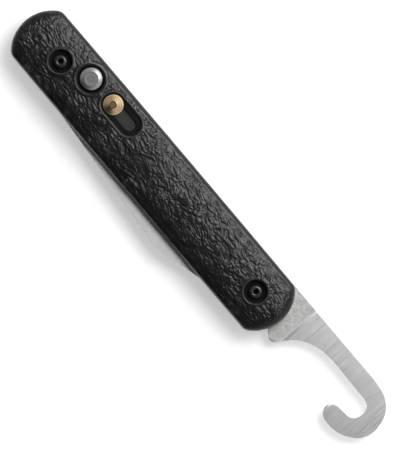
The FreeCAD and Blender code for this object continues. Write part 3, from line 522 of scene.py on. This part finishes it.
def three_point(a, m, b):
    ax, ay = a; bx, by = m; cx, cy = b
    d = 2 * (ax * (by - cy) + bx * (cy - ay) + cx * (ay - by))
    ux = ((ax**2 + ay**2) * (by - cy) + (bx**2 + by**2) * (cy - ay) + (cx**2 + cy**2) * (ay - by)) / d
    uy = ((ax**2 + ay**2) * (cx - bx) + (bx**2 + by**2) * (ax - cx) + (cx**2 + cy**2) * (bx - ax)) / d
    return (ux, uy), math.hypot(ax - ux, ay - uy)


def arc_run(c, r, p, q, step_mm):
    a0 = math.atan2(p[1] - c[1], p[0] - c[0])
    a1 = math.atan2(q[1] - c[1], q[0] - c[0])
    while a1 < a0:
        a1 += 2 * math.pi
    n = max(2, int(math.ceil((a1 - a0) * r / step_mm)))
    return [(c[0] + r * math.cos(a0 + (a1 - a0) * k / n), c[1] + r * math.sin(a0 + (a1 - a0) * k / n),
             math.cos(a0 + (a1 - a0) * k / n), math.sin(a0 + (a1 - a0) * k / n)) for k in range(n)]


def corner_centre(p, q, r):
    """Centre of the arc of radius r from p to q that bulges away from the origin."""
    mx, my = (p[0] + q[0]) / 2, (p[1] + q[1]) / 2
    dx, dy = q[0] - p[0], q[1] - p[1]
    half = math.hypot(dx, dy) / 2
    h = math.sqrt(r * r - half * half)
    nx, ny = -dy / (2 * half), dx / (2 * half)
    a = (mx + nx * h, my + ny * h)
    b = (mx - nx * h, my - ny * h)
    return a if math.hypot(*a) < math.hypot(*b) else b


def outline(step_mm):
    """The edge of a scale, counter-clockwise, with its outward normal."""
    bow_r = 9400.0
    sx, sy, ex, ey, er = 56.7, 10.8, 59.15, 9.88, 13.4
    bow_c = math.sqrt(bow_r ** 2 - sx ** 2) - sy
    pts = []
    ec = (ex - math.sqrt(er ** 2 - ey ** 2), 0.0)
    pts += arc_run(ec, er, (ex, -ey), (ex, ey), step_mm)
    pts += arc_run(corner_centre((ex, ey), (sx, sy), 3.5), 3.5, (ex, ey), (sx, sy), step_mm)
    pts += arc_run((0.0, -bow_c), bow_r, (sx, sy), (-sx, sy), step_mm)
    pts += arc_run(corner_centre((-sx, sy), (-ex, ey), 3.5), 3.5, (-sx, sy), (-ex, ey), step_mm)
    pts += arc_run((-ec[0], 0.0), er, (-ex, ey), (-ex, -ey), step_mm)
    pts += arc_run(corner_centre((-ex, -ey), (-sx, -sy), 3.5), 3.5, (-ex, -ey), (-sx, -sy), step_mm)
    pts += arc_run((0.0, bow_c), bow_r, (-sx, -sy), (sx, -sy), step_mm)
    pts += arc_run(corner_centre((sx, -sy), (ex, -ey), 3.5), 3.5, (sx, -sy), (ex, -ey), step_mm)
    return np.array(pts)


RIM = outline(PITCH)


def from_edge(P):
    """Distance in from the outline, negative outside it, and the nearest outline point."""
    rx, ry = RIM[:, 0].astype(np.float32), RIM[:, 1].astype(np.float32)
    at = np.empty(len(P), int)
    for i in range(0, len(P), 4000):
        q = P[i:i + 4000].astype(np.float32)
        at[i:i + 4000] = ((q[:, None, 0] - rx) ** 2 + (q[:, None, 1] - ry) ** 2).argmin(1)
    # measured square to the outline, so that it doesn't ripple with its points
    return -((P[:, 0] - RIM[at, 0]) * RIM[at, 2] + (P[:, 1] - RIM[at, 1]) * RIM[at, 3]), at


class Round:
    def __init__(self, x, y, r):
        self.x, self.y, self.r = x, y, r

    def dist(self, P):
        return np.hypot(P[:, 0] - self.x, P[:, 1] - self.y) - self.r

    def loop(self, off, n):
        a = 2 * np.pi * np.arange(n) / n
        return np.stack([self.x + (self.r + off) * np.cos(a), self.y + (self.r + off) * np.sin(a)], 1)

    def length(self):
        return 2 * math.pi * self.r


class Long:
    """A slot with round ends, along X."""

    def __init__(self, xa, xb, y, r):
        self.xa, self.xb, self.y, self.r = xa, xb, y, r

    def dist(self, P):
        x = np.clip(P[:, 0], self.xa, self.xb)
        return np.hypot(P[:, 0] - x, P[:, 1] - self.y) - self.r

    def loop(self, off, n):
        r0 = 3.8
        run, end = self.xb - self.xa, math.pi * r0
        k = int(round(n * end / (2 * end + 2 * run)))
        m = n // 2 - k
        r = self.r + off
        pts = []
        for i in range(k):
            a = -math.pi / 2 + math.pi * i / k
            pts.append((self.xb + r * math.cos(a), self.y + r * math.sin(a)))
        for i in range(m):
            pts.append((self.xb - run * i / m, self.y + r))
        for i in range(k):
            a = math.pi / 2 + math.pi * i / k
            pts.append((self.xa + r * math.cos(a), self.y + r * math.sin(a)))
        for i in range(m):
            pts.append((self.xa + run * i / m, self.y - r))
        return np.array(pts)

    def length(self):
        return 2 * math.pi * self.r + 2 * (self.xb - self.xa)


def even(k):
    return int(k) + int(k) % 2


# the holes in each scale: shape, rim rounding, rings outside the rim, then (offset, height) down the bore
def wall(z0, z1, off=0.0, n=6):
    return [(off, z0 + (z1 - z0) * (k + 1) / n) for k in range(n)]


def counterbore(x):
    down = wall(THICK - 0.95, 1.42, n=5)
    foot = [(-0.22 * (1 - math.cos(a)), 1.42 - 0.22 * math.sin(a)) for a in (0.5, 1.0, math.pi / 2)]
    flat = [(-1.0, 1.2), (-1.8, 1.2), (-2.4, 1.2), (-2.5, 1.12), (-2.5, 0.0)]
    return dict(shape=Round(x, 0.0, 3.8), round=0.62, ring=0.80, clear=(0.25, 1.2), down=down + foot + flat)


HOLES_FRONT = [
    counterbore(MAIN_X), counterbore(HOOK_X),
    dict(shape=Round(-56.3, -0.5, 0.85), round=0.30, ring=0.45, clear=(0.25, 1.1),
         down=wall(THICK - 0.6, 0.0, n=8)),
    dict(shape=Round(BUTTON[0], BUTTON[1], 3.7), round=0.0, ring=1.6, clear=(1.5, 2.5), dish=(2.7, 1.5 / 1.4),
         down=wall(2.7, 0.0, n=8)),
    dict(shape=Long(-24.4, -16.15, 3.9, 3.8), round=0.66, ring=0.92, clear=(0.3, 1.3),
         down=wall(THICK - 1.1, 2.85, off=-0.03, n=2)
         + [(-0.05 - 0.25 * (1 - math.cos(a)), 2.85 - 0.25 * math.sin(a)) for a in (0.5, 1.0, math.pi / 2)]
         + [(-0.7, 2.6), (-1.1, 2.6), (-1.58, 2.6), (-1.65, 2.575), (-1.7, 2.5)] + wall(2.5, 0.0, off=-1.7, n=6)),
]
HOLES_REAR = [
    counterbore(MAIN_X), counterbore(HOOK_X),
]


def ring_offsets(h):
    if "dish" in h:
        return list(np.arange(0.0, h["ring"], 0.15))
    r = h["ring"]
    return [0.0, 0.05 * r, 0.14 * r, 0.26 * r, 0.40 * r, 0.56 * r, 0.74 * r, 0.94 * r]


STRIP = 1.3


def edge_profile():
    """(distance in, height, outward share of the normal) over the rounded edge."""
    span, p = 3.8, 2.25

    def height(t):
        k = 1 - np.clip(t / span, 0, 1)
        return THICK - EDGE + EDGE * (1 - k ** p) ** (1 / p)

    ts = STRIP * np.linspace(0, 1, 400) ** 2
    zs = height(ts)
    s = np.concatenate([[0], np.cumsum(np.hypot(np.diff(ts), np.diff(zs)))])
    n = int(round(s[-1] / PITCH))
    t = np.interp(np.linspace(0, s[-1], n + 1), s, ts)
    return height, t


HEIGHT, RING_T = edge_profile()


def crown(y):
    return 0.92 * (y / 10.9) ** 2


def surface(P, holes, t):
    """Height of the outer face without the relief, and how free each point is of rims."""
    z = HEIGHT(t)
    z = z - crown(P[:, 1]) * step(t, 0.0, 3.0)
    free = 0.60 + 0.40 * step(t, 0.1, 1.7)
    free = free * (1.0 - 0.62 * step(P[:, 1], 8.9, 10.1))
    for h in holes:
        d = h["shape"].dist(P)
        if h["round"]:
            rr = h["round"]
            k = np.clip((rr - d) / rr, 0.0, 1.0)
            z = z - rr * (1 - np.sqrt(np.clip(1 - k * k, 0, 1)))
        if "dish" in h:
            cone = h["dish"][0] + d * h["dish"][1]
            k = 0.30
            m = np.clip(0.5 + 0.5 * (cone - z) / k, 0, 1)
            z = cone * (1 - m) + z * m - k * m * (1 - m)
        free = free * step(d, *h["clear"])
    return z, free


def bark(P, z, seed):
    """Wrinkled relief, like bark or crumpled leather, in millimetres, and never above zero."""
    n = Noise(seed)
    x, y = P[:, 0], P[:, 1]
    z = z * 0.8
    wx = n(x / 7.5, y / 4.6, z / 4) * 2.2 + n(x / 2.6 + 9, y / 1.9, z / 2) * 0.55
    wy = n(x / 8.5 + 40, y / 5.0, z / 4) * 1.5 + n(x / 2.8 + 70, y / 1.9, z / 2) * 0.32
    X, Y = x + wx, y + wy + 0.14 * x
    a = np.abs(n(X / 3.1, Y / 1.40, z / 1.4))
    b = np.abs(n(X / 1.75 + 17, Y / 0.92, z / 0.9 + 5))
    e = np.abs(n(X / 1.0 + 31, Y / 0.58 + 7, z / 0.6))
    c = n(X / 0.8 + 50, Y / 0.5, z / 0.5)
    big = n(x / 9.0 + 3, y / 5.5, z / 5 + 9)
    mid = n(x / 3.9 + 11, y / 2.7, z / 3 + 2)
    amp = 0.95 + 0.50 * n(x / 8 + 5, y / 5, 0.5)
    h = amp * (0.112 * (1 - np.exp(-2.4 * a)) + 0.130 * (1 - np.exp(-2.2 * b)) + 0.084 * (1 - np.exp(-2.2 * e)) + 0.018 * c)
    return h + 0.08 * mid + 0.06 * big


def scale_sheet(holes):
    """Flat triangulation of the outer face inside the rounded edge, shared by its ring of points."""
    inner = np.stack([RIM[:, 0] - RIM[:, 2] * STRIP, RIM[:, 1] - RIM[:, 3] * STRIP], 1)
    n0 = len(inner)
    loops, start = [], n0
    pts = [inner]
    for h in holes:
        n = even(h["shape"].length() / (PITCH * 0.85))
        h["n"] = max(n, 36)
        h["first"] = start
        for k, off in enumerate(ring_offsets(h)):
            pts.append(h["shape"].loop(off, h["n"]))
            start += h["n"]
    dx, dy = PITCH, PITCH * math.sqrt(3) / 2
    rows = []
    for j, y in enumerate(np.arange(-11, 11, dy)):
        xs = np.arange(-63.5, 63.5, dx) + (dx / 2 if j % 2 else 0.0)
        rows.append(np.stack([xs, np.full_like(xs, y)], 1))
    grid = np.concatenate(rows)
    keep = from_edge(grid)[0] > STRIP + PITCH * 0.55
    for h in holes:
        keep &= h["shape"].dist(grid) > h["ring"] + 0.10
    grid = grid[keep]
    pts = np.concatenate(pts + [grid])
    faces_in = [list(range(n0))]
    edges_in = []
    for h in holes:
        f = h["first"]
        edges_in += [(f + k, f + (k + 1) % h["n"]) for k in range(h["n"])]
    v, e, f, ov, oe, of_ = delaunay_2d_cdt([Vector(p) for p in pts.tolist()], edges_in, faces_in, 1, 1e-7)
    origin = [o[0] if o else -1 for o in ov]
    if any(o < 0 for o in origin):
        raise RuntimeError("the outer face of a scale gained points")
    tri = np.array([[origin[i] for i in t] for t in f])
    mid = pts[tri].mean(1)
    ok = np.ones(len(tri), bool)
    for h in holes:
        ok &= h["shape"].dist(mid) > 0
    return pts, tri[ok], n0


def verts_index(blocks, block):
    return next(i for i, b in enumerate(blocks) if b is block)


def build_scale(name, node, holes, seed, top, wells=()):
    """A scale with its relief. Made outer side up, from z 0 to 4.2, then put in its place."""
    pts, tri, n0 = scale_sheet(holes)
    near, at = from_edge(pts)
    z, free = surface(pts, holes, near)
    tilt = np.clip(near / 3.0, 0, 1)
    out = RIM[at, 2:4] * np.sqrt(1 - tilt)[:, None]
    rel = bark(pts, z, seed)
    verts = [np.column_stack([pts, z])]
    relief = [np.column_stack([rel, free])]
    normal = [np.column_stack([out, np.sqrt(tilt)])]
    faces = [tri]
    count = len(pts)
    # rounded edge and wall, ring by ring, from the inside out
    prev = np.arange(n0)
    ts = RING_T[::-1][1:]
    levels = [(t, None) for t in ts] + [(0.0, q) for q in np.linspace(THICK - EDGE, 0.0, 6)[1:]]
    for t, low in levels:
        ring = np.stack([RIM[:, 0] - RIM[:, 2] * t, RIM[:, 1] - RIM[:, 3] * t], 1)
        if low is None:
            rz, fr = surface(ring, holes, np.full(len(ring), t))
            k = min(1.0, t / 3.0)
            lean = math.sqrt(max(0.0, 1 - k))
            nrm = np.column_stack([RIM[:, 2] * lean, RIM[:, 3] * lean, np.full(len(ring), math.sqrt(k))])
        else:
            rz = np.full(len(ring), low)
            fr = 0.60 * np.full(len(ring), float(step(low, 0.25, 1.3)))
            nrm = np.column_stack([RIM[:, 2], RIM[:, 3], np.zeros(len(ring))])
        verts.append(np.column_stack([ring, rz]))
        rl = bark(ring, rz, seed)
        relief.append(np.column_stack([rl, fr]))
        normal.append(nrm)
        cur = np.arange(count, count + len(ring))
        count += len(ring)
        nxt, pn = np.roll(cur, -1), np.roll(prev, -1)
        faces.append(np.stack([cur, nxt, pn], 1))
        faces.append(np.stack([cur, pn, prev], 1))
        prev = cur
    outer_low = prev
    base_loops = []
    for h in holes:
        n = h["n"]
        prev = np.arange(h["first"], h["first"] + n)
        for off, hz in h["down"]:
            loop = h["shape"].loop(off, n)
            verts.append(np.column_stack([loop, np.full(n, hz)]))
            relief.append(np.zeros((n, 2)))
            normal.append(np.zeros((n, 3)))
            cur = np.arange(count, count + n)
            count += n
            nxt, pn = np.roll(cur, -1), np.roll(prev, -1)
            faces.append(np.stack([prev, pn, nxt], 1))
            faces.append(np.stack([prev, nxt, cur], 1))
            prev = cur
        base_loops.append((prev, h["shape"], h["down"][-1][0]))
    for x, y, r, deep in wells:
        s = Round(x, y, r)
        n = 72
        low = None
        for k, (off, hz) in enumerate([(0.12, 0.0), (0.0, 0.12), (0.0, deep * 0.5), (0.0, deep - 0.1), (-0.1, deep), (-r * 0.6, deep)]):
            loop = s.loop(off, n)
            verts.append(np.column_stack([loop, np.full(n, hz)]))
            relief.append(np.zeros((n, 2)))
            normal.append(np.zeros((n, 3)))
            cur = np.arange(count, count + n)
            count += n
            if k == 0:
                base_loops.append((cur, s, 0.12))
            else:
                nxt, pn = np.roll(cur, -1), np.roll(prev, -1)
                faces.append(np.stack([prev, nxt, pn], 1))
                faces.append(np.stack([prev, cur, nxt], 1))
            prev = cur
        centre = count
        verts.append(np.array([[x, y, deep]]))
        relief.append(np.zeros((1, 2)))
        normal.append(np.zeros((1, 3)))
        count += 1
        faces.append(np.stack([prev, np.full(n, centre), np.roll(prev, -1)], 1))
    V = np.concatenate(verts)
    R = np.concatenate(relief)
    N = np.concatenate(normal)
    # flat inner face with its holes
    ids = np.concatenate([outer_low] + [b[0] for b in base_loops])
    flat = V[ids][:, :2]
    faces_in = [list(range(len(outer_low)))]
    edges_in, at = [], len(outer_low)
    for loop, s, off in base_loops:
        k = len(loop)
        edges_in += [(at + i, at + (i + 1) % k) for i in range(k)]
        at += k
    v, e, f, ov, oe, of_ = delaunay_2d_cdt([Vector(p) for p in flat.tolist()], edges_in, faces_in, 1, 1e-7)
    low_tri = np.array([[ov[i][0] for i in t] for t in f])
    mid = flat[low_tri].mean(1)
    ok = np.ones(len(low_tri), bool)
    for loop, s, off in base_loops:
        ok &= s.dist(mid) > off + 1e-4
    faces.append(ids[low_tri[ok]][:, ::-1])
    F = np.concatenate(faces)
    # the relief stands down from the outer face
    peak = np.percentile(R[:, 0][R[:, 1] > 0.5], 99.0)
    h = np.minimum(R[:, 0] - peak, 0.02) * R[:, 1]
    V = V + N * h[:, None]
    if top:
        V[:, 2] += 12.4
    else:
        V[:, 2] = 4.2 - V[:, 2]
        F = F[:, ::-1]
    me = bpy.data.meshes.new(name)
    me.from_pydata((V * MM).tolist(), [], F.tolist())
    me.validate()
    g = me.attributes.new("rim", "FLOAT", "POINT")
    g.data.foreach_set("value", np.clip((0.30 - R[:, 1]) / 0.30, 0, 1).astype(np.float32))
    # mask of the rounded hole rims, lightened in the material as a painted highlight
    rim_highlight = np.zeros(len(V))
    for q in holes:
        if q["round"]:
            d = q["shape"].dist(V[:, :2])
            rim_highlight = np.maximum(rim_highlight, (1 - step(d, 0.45 * q["round"], 1.05 * q["round"])) * (d > -0.04))
    l = me.attributes.new("rim_highlight", "FLOAT", "POINT")
    l.data.foreach_set("value", rim_highlight.astype(np.float32))
    # painted shade mask: 1 on the hole bores and wells, whose colour the material darkens
    c = me.attributes.new("cavity_shade", "FLOAT", "POINT")
    hollow_shade = np.zeros(len(V), np.float32)
    k = 0
    for block in verts:
        hollow_shade[k:k + len(block)] = 1.0 if not np.any(normal[verts_index(verts, block)]) else 0.0
        k += len(block)
    c.data.foreach_set("value", hollow_shade)
    a = me.attributes.new("relief", "FLOAT", "POINT")
    lo, hi = np.percentile(h[R[:, 1] > 0.5], [2, 99])
    # 0.35 gives the hole bores a darker tone, part of the painted shade in the recesses; the same value falls on the
    # smooth band right round the holes
    val = np.where(R[:, 1] > 0.0, np.clip((h - lo) / (hi - lo), 0, 1) * R[:, 1] + 0.55 * (1 - R[:, 1]), 0.35)
    a.data.foreach_set("value", val.astype(np.float32))
    fix_normals(me)
    return me


def box_mesh(lo, hi, name="cut"):
    x0, y0, z0 = lo; x1, y1, z1 = hi
    v = [(x, y, z) for z in (z0, z1) for y in (y0, y1) for x in (x0, x1)]
    f = [(0, 2, 3, 1), (4, 5, 7, 6), (0, 1, 5, 4), (2, 6, 7, 3), (0, 4, 6, 2), (1, 3, 7, 5)]
    me = bpy.data.meshes.new(name)
    me.from_pydata([tuple(c * MM for c in p) for p in v], [], f)
    return me


def carve(me, cut):
    """me with cut taken away."""
    a = bpy.data.objects.new("carve_a", me)
    b = bpy.data.objects.new("carve_b", cut)
    for o in (a, b):
        bpy.context.scene.collection.objects.link(o)
    mod = a.modifiers.new("cut", "BOOLEAN")
    mod.operation = "DIFFERENCE"
    mod.solver = "MANIFOLD"
    mod.object = b
    out = baked(a)
    bpy.data.objects.remove(a)
    bpy.data.objects.remove(b)
    return out


front_me = build_scale("front_scale_skin", "front_scale", HOLES_FRONT, 11, True)
print("front skin", len(front_me.vertices), len(front_me.polygons))
cutter = box_mesh((-32.2, -1.3, 12.0), (-5.0, 7.4, 13.4))
front_me = carve(front_me, cutter)
print("front carved", len(front_me.vertices), len(front_me.polygons))
put_mesh("front_scale_skin", front_me, "handle", MAT["black_scale"], "front_scale", 48.0)
rear_me = build_scale("rear_scale_skin", "rear_scale", HOLES_REAR, 23, False,
                      wells=[(BUTTON[0], BUTTON[1], 2.4, 1.8)])
put_mesh("rear_scale_skin", rear_me, "handle", MAT["black_scale"], "rear_scale", 48.0)

# ---------------------------------------------------------------- flat steel parts
for node in ("front_liner", "centre_liner", "rear_liner"):
    soften(node, MAT["liner_steel"], 0.07)
for node in ("main_backspacer", "rear_backspacer"):
    soften(node, MAT["liner_steel"], 0.10)
soften("hook_blade", MAT["hook_steel"], 0.07, limit=60.0, flat=0.01, weld=0.045)
soften("main_blade", MAT["main_steel_shaded"], 0.05, limit=60.0, flat=0.01, weld=0.03)
for node, slot in (("main_pivot_barrel", "pivot_steel"), ("hook_pivot_barrel", "pivot_steel"),
                   ("spacer_pins", "pivot_steel"), ("stop_pin", "pivot_steel"),
                   ("pivot_spacers", "pivot_steel"), ("lock_plunger", "pivot_steel"),
                   ("safety_slide", "black_steel"), ("hook_backspring", "spring_steel"),
                   ("safety_detent_spring", "spring_steel"), ("main_blade_washers", "washer_bronze"),
                   ("hook_blade_washers", "washer_bronze"), ("opening_spring", "spring_steel"),
                   ("button_spring", "spring_steel")):
    rec = [m["slot"] for m in frame["record"]["materials"]]
    if slot not in rec:
        print("slot", slot, "not in record")
    if node not in NODES:
        print("no node", node)
        continue
    if node in ("opening_spring", "button_spring"):
        continue
    soften(node, MAT["slide_steel" if node == "safety_slide" else slot], 0.05)

# ---------------------------------------------------------------- wire springs
def coil(cx, cy, r, z0, z1, turns, start=0.0, per=40):
    n = int(turns * per) + 1
    return [(cx + r * math.cos(start + 2 * math.pi * turns * k / (n - 1)),
             cy + r * math.sin(start + 2 * math.pi * turns * k / (n - 1)), z0 + (z1 - z0) * k / (n - 1)) for k in range(n)]


def bent(pts, trim, per=8):
    """A run of points with its sharp corners turned into bends."""
    P = [Vector(q) for q in pts]
    out = [P[0]]
    for a, v, b in zip(P, P[1:], P[2:]):
        u, w = a - v, b - v
        if u.angle(w) > math.radians(150):
            out.append(v)
            continue
        t = min(trim, 0.48 * u.length, 0.48 * w.length)
        p, q = v + u.normalized() * t, v + w.normalized() * t
        for k in range(per + 1):
            f = k / per
            out.append(p * (1 - f) ** 2 + v * 2 * f * (1 - f) + q * f * f)
    out.append(P[-1])
    return out


COIL_Z = 9.83
wire = [(MAIN_X + 6.5, 0.0, COIL_Z)] + coil(MAIN_X, 0.0, 4.1, COIL_Z, COIL_Z + 0.78 * 1.52, 1.52, per=56)
wire += [(wire[-1][0] - 0.25, -0.5, 11.9), (-56.3, -0.5, 11.9), (-56.3, -0.5, 13.4)]
v, f = tube(bent(wire, 0.9), 0.38, 18)
put("opening_spring_wire", v, f, "handle", MAT["wire_steel"], "opening_spring", 50.0)
v, f = tube(coil(BUTTON[0], BUTTON[1], 1.9, 2.68, 2.68 + 5.74, 6.5, per=48), 0.25, 14)
put("button_spring_wire", v, f, "handle", MAT["wire_steel"], "button_spring", 50.0)

# ---------------------------------------------------------------- turned parts and screws
def round_over(r, z, q, n=5):
    """Quarter round from the side (r, z - q) to the top (r - q, z)."""
    return [(r - q * (1 - math.cos(a)), z - q * (1 - math.sin(a))) for a in np.linspace(0, math.pi / 2, n)]


def turned_piece(name, node, body, slot, profile, at, n=144, smooth=32.0):
    v, f = lathe(profile, n)
    me = bpy.data.meshes.new(name)
    me.from_pydata([tuple(c * MM for c in p) for p in v], [], f)
    me.validate()
    fix_normals(me)
    return put_mesh(name, me, body, MAT[slot], node, smooth, at)


cap_face = [(r, 16.5 - 0.012 * (1 - (r / 2.38) ** 2)) for r in np.linspace(0.0, 2.38, 16)]
cap = cap_face + [(2.42, 16.497), (2.48, 16.482), (3.00, 16.318), (3.50, 16.150), (3.59, 16.10), (3.63, 16.02)]
cap += [(3.63, 15.2), (3.60, 15.17), (3.60, 15.07), (3.63, 15.04), (3.63, 14.78), (3.55, 14.7), (1.3, 14.7),
        (1.2, 14.8), (1.2, 15.88), (0.0, 15.9)]
turned_piece("button_cap_turned", "button_cap", "button", "button_steel",
             [(r, z - 14.7) for r, z in cap], (BUTTON[0], BUTTON[1], 14.7))

cone = []
for k, t in enumerate(np.linspace(0, 1, 22)):
    r = 1.32 + (3.27 - 1.32) * t
    cone.append((r, 17.07 + (16.22 - 17.07) * t))
flat_top = [(r, 17.098) for r in np.linspace(0, 1.2, 8)]
knob = flat_top + [(1.26, 17.1)] + cone + [(3.33, 16.17), (3.35, 16.11), (3.35, 15.18), (3.29, 15.1), (2.06, 15.1),
                                            (2.0, 15.04), (2.0, 13.4), (1.2, 13.4), (1.2, 12.52), (1.12, 12.44), (0.0, 12.44)]
turned_piece("safety_knob_turned", "safety_knob", "safety", "knob_brass",
             [(r, z - 12.4) for r, z in knob], (KNOB[0], KNOB[1], 12.4))


def screw_rings(n=96):
    """A low rounded head with a six-sided socket and a threaded shank, head side up, seat at z 0."""
    apo = 0.80

    def hexa(k, grow=1.0):
        a = 2 * math.pi * k / n
        w = (a + math.pi / 6) % (math.pi / 3) - math.pi / 6
        return apo * grow / math.cos(w)

    rings = [("c", 0.0, 0.50), ("h", 0.55, 0.50), ("h", 0.95, 0.50), ("h", 1.0, 0.56), ("h", 1.0, 1.3), ("h", 1.0, 1.86),
             ("m", 1.06, 1.93), ("c", 1.10, 1.975), ("c", 1.24, 2.0), ("c", 1.45, 1.985), ("c", 1.68, 1.945),
             ("c", 1.90, 1.87), ("c", 2.07, 1.76), ("c", 2.20, 1.60), ("c", 2.29, 1.40), ("c", 2.34, 1.15),
             ("c", 2.35, 0.95), ("c", 2.35, 0.08), ("c", 2.28, 0.0), ("c", 1.28, 0.0)]
    z = -0.1
    while z > -4.3:
        rings += [("c", 1.20, z), ("c", 1.20, z - 0.05), ("c", 1.09, z - 0.18), ("c", 1.09, z - 0.24)]
        z -= 0.42
    rings += [("c", 1.12, -4.42), ("c", 0.95, -4.6), ("c", 0.0, -4.6)]
    verts, faces, rows = [], [], []
    for kind, r, z in rings:
        if r == 0.0:
            rows.append([len(verts)] * n)
            verts.append((0, 0, z))
            continue
        rows.append(list(range(len(verts), len(verts) + n)))
        for k in range(n):
            a = 2 * math.pi * k / n
            q = r if kind == "c" else hexa(k, r) if kind == "h" else 0.5 * (hexa(k, 1.06) + 1.0)
            verts.append((q * math.cos(a), q * math.sin(a), z))
    for a, b in zip(rows, rows[1:]):
        for k in range(n):
            j = (k + 1) % n
            f = []
            for i in (a[k], a[j], b[j], b[k]):
                if i not in f:
                    f.append(i)
            faces.append(f)
    return verts, faces


def near_axis(p):
    return min(math.hypot(p[0] - x, p[1]) for x in (MAIN_X, HOOK_X))


def screw_pair(name, node, seat, up, turns):
    v, f = screw_rings()
    verts, faces = [], []
    for x, turn in zip((MAIN_X, HOOK_X), turns):
        base = len(verts)
        c, s = math.cos(turn), math.sin(turn)
        for p in v:
            verts.append((x + p[0] * c - p[1] * s, p[0] * s + p[1] * c, seat + (p[2] if up else -p[2])))
        faces += [tuple(base + i for i in q) for q in f]
    me = bpy.data.meshes.new(name)
    me.from_pydata([tuple(c * MM for c in p) for p in verts], [], faces)
    me.validate()
    # mask of the screw socket, darkened in the material as painted shade
    d = me.attributes.new("deep", "FLOAT", "POINT")
    d.data.foreach_set("value", [1.0 if (p[2] - seat) * (1 if up else -1) < 1.8 and near_axis(p) < 1.0 else 0.0 for p in verts])
    fix_normals(me)
    return put_mesh(name, me, "handle", MAT["black_steel"], node, 34.0)


screw_pair("front_screws_headed", "front_screws", 13.6, True, (0.35, 0.9))
screw_pair("rear_screws_headed", "rear_screws", 3.0, False, (0.1, 0.7))

# ---------------------------------------------------------------- floor, light, camera
fl = bpy.data.meshes.new("floor")
S = 3.0
fl.from_pydata([(-S, -S, FLOOR_Z), (S, -S, FLOOR_Z), (S, S, FLOOR_Z), (-S, S, FLOOR_Z)], [], [(0, 1, 2, 3)])
floor = bpy.data.objects.new("floor", fl)
bpy.context.scene.collection.objects.link(floor)
fm = Mat("floor_paper")
fm.color(fm.ramp(fm.noise(40.0, 3.0, 0.5), [(0.3, (0.905, 0.905, 0.905)), (0.7, (0.925, 0.925, 0.925))]))
fm.set(Roughness=0.9, Specular_IOR_Level=0.1, Emission_Color=(1, 1, 1, 1), Emission_Strength=0.33)
fl.materials.append(fm.m)

TURN = math.radians(49.72)
RIGHT = Vector((math.cos(TURN), math.sin(TURN), 0.0))
UP = Vector((-math.sin(TURN), math.cos(TURN), 0.0))
AIM = Vector((23.10 * MM, 0.21 * MM, 0.0))


def area(name, right, up, height, size, power, size_y=None, color=(1, 1, 1)):
    l = bpy.data.lights.new(name, "AREA")
    l.shape = "RECTANGLE"
    l.size = size
    l.size_y = size_y or size
    l.energy = power
    l.color = color
    o = bpy.data.objects.new(name, l)
    bpy.context.scene.collection.objects.link(o)
    o.location = AIM + RIGHT * right + UP * up + Vector((0, 0, height))
    o.rotation_euler = (AIM - o.location).to_track_quat("-Z", "Y").to_euler()
    return o


KEY_TILT, KEY_FAR, KEY_SIZE = math.radians(22.0), 1.05, 0.38
off = KEY_FAR * math.sin(KEY_TILT)
area("key", off * 0.7629, off * 0.6465, KEY_FAR * math.cos(KEY_TILT), KEY_SIZE, 5.3)
top = area("overhead", 0.0, 0.0, 1.30, 0.70, 0.12)
top.visible_camera = False

world = bpy.data.worlds.new("studio")
bpy.context.scene.world = world
world.use_nodes = True
wt = world.node_tree
bg = wt.nodes["Background"]
w_tc = wt.nodes.new("ShaderNodeTexCoord")
w_xyz = wt.nodes.new("ShaderNodeSeparateXYZ")
wt.links.new(w_tc.outputs["Generated"], w_xyz.inputs[0])


def glow(axis, a, b, c, d):
    n = wt.nodes.new("ShaderNodeMapRange")
    n.interpolation_type = "SMOOTHSTEP"
    for i, v in zip((1, 2, 3, 4), (a, b, c, d)):
        n.inputs[i].default_value = v
    wt.links.new(w_xyz.outputs[axis], n.inputs[0])
    return n.outputs[0]


def plus(a, b):
    n = wt.nodes.new("ShaderNodeMath")
    n.operation = "ADD"
    wt.links.new(a, n.inputs[0])
    wt.links.new(b, n.inputs[1])
    return n.outputs[0]


side = plus(glow("Y", 0.35, 0.85, 0.09, 1.5), plus(glow("X", 0.25, 0.75, 0.0, 0.75), glow("X", -0.75, -0.25, 0.45, 0.0)))
wt.links.new(plus(side, glow("Y", -0.9, -0.2, -0.06, 0.03)), bg.inputs["Strength"])
bg.inputs["Color"].default_value = (1, 1, 1, 1)

DIST = 1.5
HIGH = 16.6 * MM
cam = bpy.data.cameras.new("camera")
cam.sensor_fit = "AUTO"
cam.sensor_width = 36.0
cam.lens = 36.0 * DIST / 0.14446
cam.clip_start = 0.05
cam.clip_end = 20.0
co = bpy.data.objects.new("camera", cam)
bpy.context.scene.collection.objects.link(co)
co.location = AIM + Vector((0, 0, HIGH + DIST))
co.rotation_euler = (0.0, 0.0, TURN)
bpy.context.scene.camera = co

bpy.context.scene.view_settings.view_transform = "Standard"
bpy.context.scene.view_settings.look = "None"
